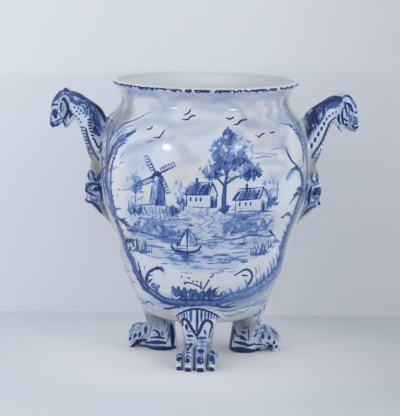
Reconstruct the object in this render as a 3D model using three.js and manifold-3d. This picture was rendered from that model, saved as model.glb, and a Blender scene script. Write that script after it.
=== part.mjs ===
// Two-handled faience vase on three lion-paw feet.
// Millimetres, +Z up. The origin is on the floor below the middle of the bowl. The handles lie along
// X and the front foot points towards -Y.
import * as THREE from "three";
import { mergeVertices } from "three/addons/utils/BufferGeometryUtils.js";
import Module from "manifold-3d";

// Bowl and neck: outer radius at each station, and the rise from the station below it
const LEG_HEIGHT = 54;
const BASE_RADIUS = 58;
const CUP_RISE = 66;
const CUP_RADIUS = 106;
const WAIST_RISE = 45;
const WAIST_RADIUS = 118.5;
const HAUNCH_RISE = 45;
const HAUNCH_RADIUS = 135;
const BELLY_RISE = 50;
const BELLY_RADIUS = 138;
const SHOULDER_RISE = 57;
const SHOULDER_RADIUS = 131.5;
const NECK_RISE = 26;
const NECK_RADIUS = 110.7;
const RIM_RISE = 27;
const RIM_RADIUS = 123;
const WALL = 8;
const FLOOR_THICKNESS = 10;
const FLOOR_COVE = 4;
const LIP_THICKNESS = 7;

// Between two stations, some shares of the rise and of the change of radius bend the outline
const BASE_ROUND = [
  [0.04, 0.2],
  [0.13, 0.38],
  [0.34, 0.59],
  [0.62, 0.79],
];
const SHOULDER_TURN = [[0.4, 0.69]];
const RIM_FLARE = [[0.5, 0.2]];

// Clearance between pieces that are luted together
const SEAT_GAP = 0.3;

// The two handles were luted on by hand: how much further out than drawn each one stands
const HANDLE_SET_OUT = { left: 0.8, right: -1.8 };

// Griffin: stations [stand-off of the centre line from the bowl, height from the shoulder,
// half thickness across the centre line, half width along Y]
const NECK_STATIONS = [
  [-2, -74, 13.5, 22],
  [-2, -58, 13.3, 20],
  [1.6, -44, 15.5, 17],
  [6.5, -28, 16.5, 15],
  [15.5, -12, 15.2, 13.5],
  [26.5, 3, 15.5, 13],
  [38.5, 15, 14.5, 12.5],
  [49, 21, 10, 11],
];
const MANE_STATIONS = [
  [2, -8, 8, 11.5],
  [11.6, 6, 8, 10.5],
  [21.3, 13.6, 8, 10],
  [31, 19.8, 8, 10],
  [38, 24.5, 8, 10],
  [45.5, 28, 7, 9],
  [51, 30, 6, 7],
];
const HEAD_STATIONS = [
  [51.5, 36, 5, 5],
  [52.5, 30.5, 11.5, 9.5],
  [55.2, 18, 16.2, 13.5],
  [60, 6, 14.3, 12.5],
  [63.8, -3, 10, 9.5],
  [66.3, -9.3, 7, 7.5],
  [66.8, -12.7, 4, 5],
];
const BEARD_STATIONS = [
  [47, 10, 8, 10],
  [48.5, -2, 7, 8],
  [49.3, -10, 4.3, 5.5],
  [49.5, -14.5, 2, 3],
];
const CREST_STATIONS = [
  [48, 30, 5, 5],
  [52.5, 35.5, 4.5, 4.5],
  [54.5, 38, 2.2, 3],
];
const GRIFFIN_LIMBS = [
  NECK_STATIONS,
  MANE_STATIONS,
  HEAD_STATIONS,
  BEARD_STATIONS,
  CREST_STATIONS,
];
const EAR_HALF = [4.5, 3.5, 10.5];
const EAR_STANDOFF = 55.5;
const EAR_RISE = 12.5;
const EAR_SIDE = 12.5;
const EAR_LEAN = 0.12;
const BROW_HALF = [4.5, 3.5, 3];
const BROW_STANDOFF = 67;
const BROW_RISE = 12;
const BROW_SIDE = 9;

// Mask: stations as for the griffin. It meets the griffin at a flat joint below the shoulder
const MASK_TOP_RISE = -67;
const MASK_STATIONS = [
  [-3, -60, 14.5, 20],
  [-2, -70, 16.5, 22.5],
  [-1, -80, 18.6, 25],
  [0, -91, 21, 26.5],
  [0, -100, 20, 26],
  [-1, -108, 18.5, 23],
  [-3, -116, 15, 18],
  [-6, -124, 12.5, 14.5],
  [-10, -132, 11, 11],
  [-14, -140, 8, 8],
];
const MUZZLE_HALF = [12, 14, 6.5];
const MUZZLE_STANDOFF = 10.5;
const MUZZLE_RISE = -110.5;
const CHEEK_HALF = [10, 9, 12];
const CHEEK_STANDOFF = 8;
const CHEEK_RISE = -94;
const CHEEK_SIDE = 16;
const NOSE_HALF = [4, 6, 4];
const NOSE_STANDOFF = 19.2;
const NOSE_RISE = -112.5;

// Feet. Shank: stations [stand-off of the centre line from the bowl's edge, share of the leg's
// height, half thickness across the centre line, half width across the foot]
const FOOT_AZIMUTHS = { foot_front: -94, foot_rear_left: 146, foot_rear_right: 26 };
const SHANK_STATIONS = [
  [6, -0.04, 20, 20],
  [6, 0.15, 20, 20.5],
  [7.5, 0.41, 19.5, 19.5],
  [9.5, 0.67, 19.5, 19.3],
  [13, 0.96, 19, 22],
];
// Collar: the same, with the rise above the bowl's base in place of the share
const COLLAR_STATIONS = [
  [-4.4, 10, 16, 29],
  [-13.4, 30, 14, 35],
];
// Instep: the same, with the height above the floor
const INSTEP_STATIONS = [
  [12, 15, 17, 20.5],
  [24, 15, 17, 22],
  [35, 12.5, 14.5, 22],
  [43, 8, 10, 18],
];
// Toes: stations [stand-off from the bowl's edge, height above the floor, radius]
const TOE_STATIONS = [
  [28, 20, 8.8],
  [40, 21.5, 8.4],
  [47.5, 16, 7.2],
  [48.8, 7, 6.4],
  [48.5, -3, 6],
];
// The two outer toes are set back and slimmer than the inner ones
const INNER_TOE_SIDE = 7.5;
const OUTER_TOE_SIDE = 19;
const OUTER_TOE_BACK = 6;
const OUTER_TOE_SLIM = 0.82;
const INNER_TOE_TURN = 0.03;
const OUTER_TOE_TURN = 0.07;
const OUTER_TOE = { back: OUTER_TOE_BACK, slim: OUTER_TOE_SLIM };
const INNER_TOE = { back: 0, slim: 1 };
const TOES = [
  { ...OUTER_TOE, side: -OUTER_TOE_SIDE, turn: -OUTER_TOE_TURN },
  { ...INNER_TOE, side: -INNER_TOE_SIDE, turn: -INNER_TOE_TURN },
  { ...INNER_TOE, side: INNER_TOE_SIDE, turn: INNER_TOE_TURN },
  { ...OUTER_TOE, side: OUTER_TOE_SIDE, turn: OUTER_TOE_TURN },
];
const COLLAR_HALF_WIDTH = 32.7;
const COLLAR_TIP_RISE = 11.5;
const COLLAR_PEAK_RISE = 26.5;
const ANKLE_HALF_WIDTH = 24;
const ANKLE_SHARE = 0.74;

// Smoothness of the round shapes
const LATHE_SEGMENTS = 48;
const BOWL_STEPS = 2;
const NECK_STEPS = 3;
const LIP_STEPS = 6;
const LIMB_SIDES = 12;
const LIMB_STEPS = 2;
const BALL_ROWS = 10;
const OFFSET_STEPS = 8;

// Heights that follow from the rises
const CUP_HEIGHT = LEG_HEIGHT + CUP_RISE;
const WAIST_HEIGHT = CUP_HEIGHT + WAIST_RISE;
const HAUNCH_HEIGHT = WAIST_HEIGHT + HAUNCH_RISE;
const BELLY_HEIGHT = HAUNCH_HEIGHT + BELLY_RISE;
const SHOULDER_HEIGHT = BELLY_HEIGHT + SHOULDER_RISE;
const NECK_HEIGHT = SHOULDER_HEIGHT + NECK_RISE;
const RIM_HEIGHT = NECK_HEIGHT + RIM_RISE;
const LIP_HALF = LIP_THICKNESS / 2;
const LIP_HEIGHT = RIM_HEIGHT - LIP_HALF;

const wasm = await Module();
wasm.setup();

// A closed geometry as a solid with its faces outward
function solid(geometry) {
  const bare = geometry.clone();
  bare.deleteAttribute("normal");
  bare.deleteAttribute("uv");
  const merged = mergeVertices(bare, 1e-4);
  const vertProperties = merged.attributes.position.array;
  const triVerts = new Uint32Array(merged.index.array);
  const made = new wasm.Manifold(new wasm.Mesh({ numProp: 3, vertProperties, triVerts }));
  if (made.volume() > 0) return made;
  for (let i = 0; i < triVerts.length; i += 3) {
    [triVerts[i + 1], triVerts[i + 2]] = [triVerts[i + 2], triVerts[i + 1]];
  }
  return new wasm.Manifold(new wasm.Mesh({ numProp: 3, vertProperties, triVerts }));
}

function joined(solids) {
  return solids.reduce((whole, next) => whole.add(next));
}

function mesh(name, made, material) {
  const found = made.getMesh();
  const geometry = new THREE.BufferGeometry();
  geometry.setAttribute("position", new THREE.BufferAttribute(found.vertProperties, 3));
  geometry.setIndex(new THREE.BufferAttribute(found.triVerts, 1));
  geometry.computeVertexNormals();
  const piece = new THREE.Mesh(geometry, material);
  piece.name = name;
  return piece;
}

// Outline of the thrown body

// The points between two stations, from shares of the rise and of the change of radius
function bend(low, high, shares) {
  return shares.map(([rise, change]) => [
    low[0] + rise * (high[0] - low[0]),
    low[1] + change * (high[1] - low[1]),
  ]);
}

const base = [LEG_HEIGHT, BASE_RADIUS];
const cup = [CUP_HEIGHT, CUP_RADIUS];
const waist = [WAIST_HEIGHT, WAIST_RADIUS];
const haunch = [HAUNCH_HEIGHT, HAUNCH_RADIUS];
const belly = [BELLY_HEIGHT, BELLY_RADIUS];
const shoulder = [SHOULDER_HEIGHT, SHOULDER_RADIUS];
const neck = [NECK_HEIGHT, NECK_RADIUS];
const rim = [LIP_HEIGHT, RIM_RADIUS];
const bowlStations = [base, ...bend(base, cup, BASE_ROUND), cup, waist, haunch, belly, shoulder];
const neckStations = [
  shoulder,
  ...bend(shoulder, neck, SHOULDER_TURN),
  neck,
  ...bend(neck, rim, RIM_FLARE),
  rim,
];

function radiusCurve(stations) {
  const heights = stations.map(([height]) => height);
  const radii = stations.map(([, radius]) => radius);
  const curve = new THREE.CubicInterpolant(heights, radii, 1, new Float64Array(1));
  return (height) => curve.evaluate(height)[0];
}

const bowlCurve = radiusCurve(bowlStations);
const neckCurve = radiusCurve(neckStations);

function outerRadius(height) {
  const inside = THREE.MathUtils.clamp(height, LEG_HEIGHT, LIP_HEIGHT);
  return inside <= SHOULDER_HEIGHT ? bowlCurve(inside) : neckCurve(inside);
}

// The outline grown by a distance measured square to its surface, or shrunk by a negative one
function offsetRadius(height, distance) {
  let best = distance > 0 ? 0 : Infinity;
  for (let step = -OFFSET_STEPS; step <= OFFSET_STEPS; step++) {
    const turn = ((step / OFFSET_STEPS) * Math.PI) / 2;
    const radius = outerRadius(height + distance * Math.sin(turn)) + distance * Math.cos(turn);
    best = distance > 0 ? Math.max(best, radius) : Math.min(best, radius);
  }
  return best;
}

// Heights from one station to another, with the same number of steps between neighbours
function heightsThrough(stations, steps) {
  const heights = [stations[0][0]];
  for (let i = 1; i < stations.length; i++) {
    for (let step = 1; step <= steps; step++) {
      heights.push(THREE.MathUtils.lerp(stations[i - 1][0], stations[i][0], step / steps));
    }
  }
  return heights;
}

// Turned solid from [radius, height] points, which start and end on the axis or close on themselves
function turned(points) {
  const profile = points.map(([radius, height]) => new THREE.Vector2(radius, height));
  return solid(new THREE.LatheGeometry(profile, LATHE_SEGMENTS).rotateX(Math.PI / 2));
}

const bowlHeights = heightsThrough(bowlStations, BOWL_STEPS);
const neckHeights = heightsThrough(neckStations, NECK_STEPS);

function makeBowl() {
  const innerFloor = LEG_HEIGHT + FLOOR_THICKNESS;
  const coveTop = innerFloor + FLOOR_COVE;
  const outside = bowlHeights.map((height) => [outerRadius(height), height]);
  const innerHeights = bowlStations.map(([height]) => height).filter((height) => height > coveTop);
  const inside = innerHeights.map((height) => [offsetRadius(height, -WALL), height]);
  const innerEdge = offsetRadius(coveTop, -WALL) - FLOOR_COVE;
  return turned([
    [0, LEG_HEIGHT],
    ...outside,
    ...inside.reverse(),
    [innerEdge, innerFloor],
    [0, innerFloor],
  ]);
}

function makeNeck() {
  const seat = SHOULDER_HEIGHT + SEAT_GAP;
  const heights = [seat, ...neckHeights.filter((height) => height > seat)];
  const outside = heights.map((height) => [outerRadius(height), height]);
  const inside = heights.map((height) => [offsetRadius(height, -WALL), height]);
  const lipInner = RIM_RADIUS - LIP_THICKNESS;
  inside[inside.length - 1] = [lipInner, LIP_HEIGHT];
  const lip = [];
  for (let step = 1; step < LIP_STEPS; step++) {
    const turn = (step / LIP_STEPS) * Math.PI;
    lip.push([
      RIM_RADIUS - LIP_HALF + LIP_HALF * Math.cos(turn),
      LIP_HEIGHT + LIP_HALF * Math.sin(turn),
    ]);
  }
  return turned([...outside, ...lip, ...inside.reverse(), outside[0]]);
}

// The whole body without its hollow, grown by a distance: it cuts what is luted to the body
function bodyEnvelope(distance) {
  const heights = [...bowlHeights, ...neckHeights.slice(1)];
  const side = heights.map((height) => [offsetRadius(height, distance), height]);
  const bottom = LEG_HEIGHT - distance;
  const top = LIP_HEIGHT + distance;
  return turned([[0, bottom], [BASE_RADIUS, bottom], ...side, [side.at(-1)[0], top], [0, top]]);
}

// Limbs

// Closed rod with an oval section that changes along a bent centre line.
// Stations are { at: Vector3, thick, wide }, and side is the direction of the width.
function limb(stations, side) {
  const line = new THREE.CatmullRomCurve3(stations.map((station) => station.at));
  const rows = (stations.length - 1) * LIMB_STEPS;
  const rod = new THREE.CylinderGeometry(1, 1, 1, LIMB_SIDES, rows);
  const place = rod.attributes.position;
  const last = stations.length - 1;
  for (let i = 0; i < place.count; i++) {
    const along = THREE.MathUtils.clamp(place.getY(i) + 0.5, 0, 1);
    const from = Math.min(Math.floor(along * last), last - 1);
    const share = along * last - from;
    const thick = THREE.MathUtils.lerp(stations[from].thick, stations[from + 1].thick, share);
    const wide = THREE.MathUtils.lerp(stations[from].wide, stations[from + 1].wide, share);
    const across = new THREE.Vector3().crossVectors(line.getTangent(along), side).normalize();
    const point = line.getPoint(along);
    point.addScaledVector(across, place.getX(i) * thick);
    point.addScaledVector(side, place.getZ(i) * wide);
    place.setXYZ(i, point.x, point.y, point.z);
  }
  return solid(rod);
}

function ellipsoid(half, at, lean = 0) {
  const ball = new THREE.SphereGeometry(1, LIMB_SIDES, BALL_ROWS);
  ball.scale(...half).rotateY(lean).translate(at.x, at.y, at.z);
  return solid(ball);
}

function box(low, high) {
  const size = high.map((value, i) => value - low[i]);
  const centre = high.map((value, i) => (value + low[i]) / 2);
  return solid(new THREE.BoxGeometry(...size).translate(...centre));
}

// Handles: modelled on the +X side, then turned half round for the left

const acrossHandles = new THREE.Vector3(0, 1, 0);

// A place beside the bowl: the stand-off is measured from the bowl's surface at that height
function beside(standOff, rise, side = 0) {
  const height = SHOULDER_HEIGHT + rise;
  const surface = outerRadius(Math.min(height, SHOULDER_HEIGHT));
  return new THREE.Vector3(surface + standOff, side, height);
}

function handleLimb(stations, setOut) {
  const placed = stations.map(([standOff, rise, thick, wide]) => ({
    at: beside(standOff + setOut, rise),
    thick,
    wide,
  }));
  return limb(placed, acrossHandles);
}

const seatedBody = bodyEnvelope(SEAT_GAP);
const reach = 2 * RIM_HEIGHT;
const maskTop = SHOULDER_HEIGHT + MASK_TOP_RISE;

function makeGriffin(setOut) {
  const parts = GRIFFIN_LIMBS.map((stations) => handleLimb(stations, setOut));
  for (const side of [-1, 1]) {
    const ear = beside(EAR_STANDOFF + setOut, EAR_RISE, side * EAR_SIDE);
    const brow = beside(BROW_STANDOFF + setOut, BROW_RISE, side * BROW_SIDE);
    parts.push(ellipsoid(EAR_HALF, ear, EAR_LEAN), ellipsoid(BROW_HALF, brow));
  }
  const above = box([0, -reach, maskTop + SEAT_GAP], [reach, reach, reach]);
  return joined(parts).subtract(seatedBody).intersect(above);
}

function makeMask(setOut) {
  const muzzle = beside(MUZZLE_STANDOFF + setOut, MUZZLE_RISE);
  const nose = beside(NOSE_STANDOFF + setOut, NOSE_RISE);
  const parts = [
    handleLimb(MASK_STATIONS, setOut),
    ellipsoid(MUZZLE_HALF, muzzle),
    ellipsoid(NOSE_HALF, nose),
  ];
  for (const side of [-1, 1]) {
    const cheek = beside(CHEEK_STANDOFF + setOut, CHEEK_RISE, side * CHEEK_SIDE);
    parts.push(ellipsoid(CHEEK_HALF, cheek));
  }
  const below = box([0, -reach, 0], [reach, reach, maskTop]);
  return joined(parts).subtract(seatedBody).intersect(below);
}

// Feet: modelled pointing along +X, then turned to their azimuth

// Block with the outline of the fan-shaped collar across the foot, and an arched top edge
function collarCutter() {
  const ankle = LEG_HEIGHT * ANKLE_SHARE;
  const tip = LEG_HEIGHT + COLLAR_TIP_RISE;
  const crown = LEG_HEIGHT + 2 * COLLAR_PEAK_RISE - COLLAR_TIP_RISE;
  const outline = new THREE.Shape();
  outline.moveTo(-reach, 0);
  outline.lineTo(-reach, ankle);
  outline.lineTo(-ANKLE_HALF_WIDTH, ankle);
  outline.lineTo(-COLLAR_HALF_WIDTH, tip);
  outline.quadraticCurveTo(0, crown, COLLAR_HALF_WIDTH, tip);
  outline.lineTo(ANKLE_HALF_WIDTH, ankle);
  outline.lineTo(reach, ankle);
  outline.lineTo(reach, 0);
  const block = new THREE.ExtrudeGeometry(outline, {
    depth: reach,
    bevelEnabled: false,
    curveSegments: LIMB_SIDES,
  });
  block.rotateX(Math.PI / 2).rotateZ(Math.PI / 2);
  return solid(block);
}

// Stations of the foot, with the stand-off measured from the bowl's outline at each height
function footStations(stations) {
  return stations.map(([standOff, height, thick, wide]) => ({
    at: new THREE.Vector3(outerRadius(height) + standOff, 0, height),
    thick,
    wide,
  }));
}

function makeLeg() {
  const shank = SHANK_STATIONS.map(([standOff, share, ...half]) => [
    standOff,
    share * LEG_HEIGHT,
    ...half,
  ]);
  const collar = COLLAR_STATIONS.map(([standOff, rise, ...half]) => [
    standOff,
    LEG_HEIGHT + rise,
    ...half,
  ]);
  return limb(footStations([...shank, ...collar]), acrossHandles).intersect(collarCutter());
}

function makeToe({ side, back, slim, turn }) {
  const heel = TOE_STATIONS[0][0];
  const placed = TOE_STATIONS.map(([standOff, height, radius]) => ({
    at: new THREE.Vector3(
      BASE_RADIUS + standOff - back,
      side + turn * (standOff - heel),
      height * slim,
    ),
    thick: radius * slim,
    wide: radius * slim,
  }));
  return limb(placed, acrossHandles);
}

function makeFoot() {
  const instep = limb(footStations(INSTEP_STATIONS), acrossHandles);
  const aboveFloor = box([0, -reach, 0], [reach, reach, reach]);
  return joined([makeLeg(), instep, ...TOES.map(makeToe)])
    .intersect(aboveFloor)
    .subtract(seatedBody);
}

// The vase

function glazed(color) {
  return new THREE.MeshStandardMaterial({ color, roughness: 0.15, metalness: 0 });
}

const vase = new THREE.Group();
vase.name = "vase";
vase.add(mesh("bowl", makeBowl(), glazed(0xdfe3e4)));
vase.add(mesh("neck_and_rim", makeNeck(), glazed(0xe3e3dd)));

for (const [sideName, setOut] of Object.entries(HANDLE_SET_OUT)) {
  const handle = new THREE.Group();
  handle.rotation.z = sideName === "left" ? Math.PI : 0;
  handle.add(mesh("griffin_" + sideName, makeGriffin(setOut), glazed(0x6d86bb)));
  handle.add(mesh("mask_" + sideName, makeMask(setOut), glazed(0x8b9cc4)));
  vase.add(handle);
}

const foot = makeFoot();
for (const [name, azimuth] of Object.entries(FOOT_AZIMUTHS)) {
  const piece = mesh(name, foot, glazed(0x8fa3cb));
  piece.rotation.z = THREE.MathUtils.degToRad(azimuth);
  vase.add(piece);
}

export default vase;
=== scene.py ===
"""Two-handled faience vase on three lion-paw feet: tin glaze with cobalt blue painting."""
import math

import bmesh
import bpy
import numpy as np
from mathutils import Matrix, Vector


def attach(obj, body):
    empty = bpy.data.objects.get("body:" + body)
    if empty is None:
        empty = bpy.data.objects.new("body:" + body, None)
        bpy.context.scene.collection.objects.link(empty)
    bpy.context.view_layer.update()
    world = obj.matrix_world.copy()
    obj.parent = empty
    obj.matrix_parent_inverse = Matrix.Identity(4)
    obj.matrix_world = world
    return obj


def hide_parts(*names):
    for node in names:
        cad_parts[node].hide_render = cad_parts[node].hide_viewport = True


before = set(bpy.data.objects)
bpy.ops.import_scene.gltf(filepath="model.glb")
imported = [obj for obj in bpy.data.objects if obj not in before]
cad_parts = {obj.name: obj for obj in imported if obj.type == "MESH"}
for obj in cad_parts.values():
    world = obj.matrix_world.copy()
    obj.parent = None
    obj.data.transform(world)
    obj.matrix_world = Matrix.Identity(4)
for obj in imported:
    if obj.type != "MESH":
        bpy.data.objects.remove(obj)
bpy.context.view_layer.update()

MM = 0.001


# Curves

def smooth_line(points, step):
    """Evenly spaced points along a smooth curve through the given ones."""
    rows = np.array(points, float)
    if len(rows) < 3:
        count = max(2, int(np.linalg.norm(rows[-1][:2] - rows[0][:2]) / step) + 1)
        share = np.linspace(0, 1, count)[:, None]
        return rows[0] + share * (rows[-1] - rows[0])
    padded = np.vstack([2 * rows[0] - rows[1], rows, 2 * rows[-1] - rows[-2]])
    share = np.linspace(0, 1, 12, endpoint=False)[:, None]
    spans = []
    for a, b, c, d in zip(padded, padded[1:], padded[2:], padded[3:]):
        bend = 2 * a - 5 * b + 4 * c - d
        twist = 3 * b - a - 3 * c + d
        spans.append(b + 0.5 * share * (c - a + share * (bend + share * twist)))
    fine = np.vstack([*spans, rows[-1:]])
    gone = np.concatenate([[0], np.cumsum(np.linalg.norm(np.diff(fine[:, :2], axis=0), axis=1))])
    at = np.linspace(0, gone[-1], max(2, int(gone[-1] / step) + 1))
    return np.stack([np.interp(at, gone, column) for column in fine.T], axis=1)


# The thrown body: outlines as [radius, height] in millimetres

BASE_HEIGHT = 54
SHOULDER_HEIGHT = 317.15
LIP_RADIUS = 3.5
LIP_CENTRE = (119.5, 366.5)
WALL = 8
OUTLINE = [
    (57, 54), (62, 54.6), (68, 56.8), (76.4, 62.6), (86.4, 76.4), (95.8, 94.9), (105.8, 120), (112.5, 142),
    (118.4, 165), (127, 188), (134.6, 210), (137.4, 234), (137.8, 262), (136.3, 288), (134.4, 302),
    (132.2, 311), (129.6, 318), (125.2, 322.4), (119, 327), (114.4, 332), (111.6, 338), (110.7, 345),
    (112.6, 353.6), (118.6, 362),
]
# The wall below the shoulder's seam, inside, and the mouth below the lip
BOWL_INSIDE = [
    (128, 290), (129.8, 255), (127, 215), (118, 190), (108, 155), (98, 122), (88, 98), (78, 79), (66, 67),
    (50, 64), (0, 64),
]
NECK_INSIDE = [(115.4, 364), (108.5, 355), (104, 345), (104.5, 335), (110, 326)]
# Height of a row of faces where the painting is, where nothing is painted, and along the seam
ROW = 1.42
COARSE_ROW = 2.6
INNER_ROW = 4
SEAM_ROW = 0.2
PAINTED_FROM = 74
fine_outline = smooth_line(OUTLINE, 0.4)
outline_radii = np.concatenate([fine_outline[:, 0], [LIP_CENTRE[0] + LIP_RADIUS]])
outline_heights = np.concatenate([fine_outline[:, 1], [LIP_CENTRE[1]]])


def body_radius(height):
    return np.interp(height, outline_heights, outline_radii)


# Fine columns face the front, where the painting has its thinnest lines. Each sector of the turn
# is made of equal wedges: (degrees of a wedge, columns in it, number of wedges)
SECTORS = [(8, 13, 16), (8, 8, 29)]
FIRST_WEDGE = -90 - 64


def turned(outline):
    """Mesh spun from an outline of [radius, height], wedge by wedge."""
    whole = bmesh.new()
    azimuth = FIRST_WEDGE
    for turn, steps, count in SECTORS:
        wedge = bmesh.new()
        verts = [wedge.verts.new(Vector((radius, 0, height)) * MM) for radius, height in outline]
        edges = [wedge.edges.new(pair) for pair in zip(verts, verts[1:])]
        start = Matrix.Rotation(math.radians(azimuth), 3, "Z")
        bmesh.ops.rotate(wedge, cent=(0, 0, 0), matrix=start, verts=verts)
        bmesh.ops.spin(
            wedge, geom=verts + edges, cent=(0, 0, 0), axis=(0, 0, 1), angle=math.radians(turn), steps=steps,
        )
        strip = bpy.data.meshes.new("strip")
        wedge.to_mesh(strip)
        wedge.free()
        for _ in range(count):
            whole.from_mesh(strip)
            strip.transform(Matrix.Rotation(math.radians(turn), 4, "Z"))
        bpy.data.meshes.remove(strip)
        azimuth += turn * count
    bmesh.ops.remove_doubles(whole, verts=whole.verts, dist=1e-5)
    bmesh.ops.recalc_face_normals(whole, faces=whole.faces)
    return whole


def make_object(name, bm, smooth=True):
    mesh = bpy.data.meshes.new(name)
    bm.to_mesh(mesh)
    bm.free()
    mesh.polygons.foreach_set("use_smooth", [smooth] * len(mesh.polygons))
    piece = bpy.data.objects.new(name, mesh)
    bpy.context.collection.objects.link(piece)
    return piece


def sharpen_seam(bm):
    """A crisp edge where the neck is set on the bowl."""
    for edge in bm.edges:
        if all(abs(vert.co.z - SHOULDER_HEIGHT * MM) < 1e-6 for vert in edge.verts):
            edge.smooth = False


def make_bowl():
    underside = [(0, BASE_HEIGHT + 0.4), (30, BASE_HEIGHT + 0.2), (54, BASE_HEIGHT)]
    low = [row for row in smooth_line(OUTLINE, COARSE_ROW) if row[1] < PAINTED_FROM]
    top = SHOULDER_HEIGHT - 2 * SEAM_ROW
    high = [row for row in smooth_line(OUTLINE, ROW) if PAINTED_FROM + 0.5 <= row[1] < top]
    seam = [(float(body_radius(height)), height) for height in (SHOULDER_HEIGHT - SEAM_ROW, SHOULDER_HEIGHT)]
    inner = [(seam[-1][0] - WALL, SHOULDER_HEIGHT), *BOWL_INSIDE]
    bm = turned([*underside, *low, *high, *seam, *inner])
    sharpen_seam(bm)
    return make_object("bowl", bm)


def make_neck():
    seam = [(float(body_radius(height)), height) for height in (SHOULDER_HEIGHT, SHOULDER_HEIGHT + SEAM_ROW)]
    high = [row for row in smooth_line(OUTLINE, ROW) if row[1] > SHOULDER_HEIGHT + 2 * SEAM_ROW]
    outer = [*seam, *high]
    lip = []
    for turn in range(-30, 181, 15):
        angle = math.radians(turn)
        lip.append((
            LIP_CENTRE[0] + LIP_RADIUS * math.cos(angle),
            LIP_CENTRE[1] + LIP_RADIUS * math.sin(angle),
        ))
    inner = smooth_line([*NECK_INSIDE, (seam[0][0] - WALL, SHOULDER_HEIGHT)], INNER_ROW)
    bm = turned([*outer, *lip, *inner, outer[0]])
    sharpen_seam(bm)
    return make_object("neck_and_rim", bm)


# Painting. A drawing is a set of brush marks; each vertex keeps how far inside a mark it lies

# The inside layer holds painted light; the earth layer, mostly olive glaze, also holds painted shade in the
# mouth
LAYERS = ("wash", "brush", "tone", "line", "stain", "earth", "inside")
# Millimetres from a mark's edge to where its value ends, and between the points of its path
REACH = 2.5
PATH_STEP = 2.0
# A stroke is widest at this share of its length
WIDEST = 0.4
# A vertex counts as painted from this value on, and its paint takes part in a mark laid over it
PAINTED = 0.44
WET_SPAN = 0.12
OVER_PAINT = 0.46
FRESH_SHARE = 0.8
UNDER_SHARE = 0.24
DEEPEST = 0.95
# How softly washes, stains and dull glaze run out, as shares of their width
SOAK_REACH = 0.3
STAIN_SOFTNESS = 0.6
DULL_REACH = 0.4
DULL_SOFTNESS = 0.8


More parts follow.
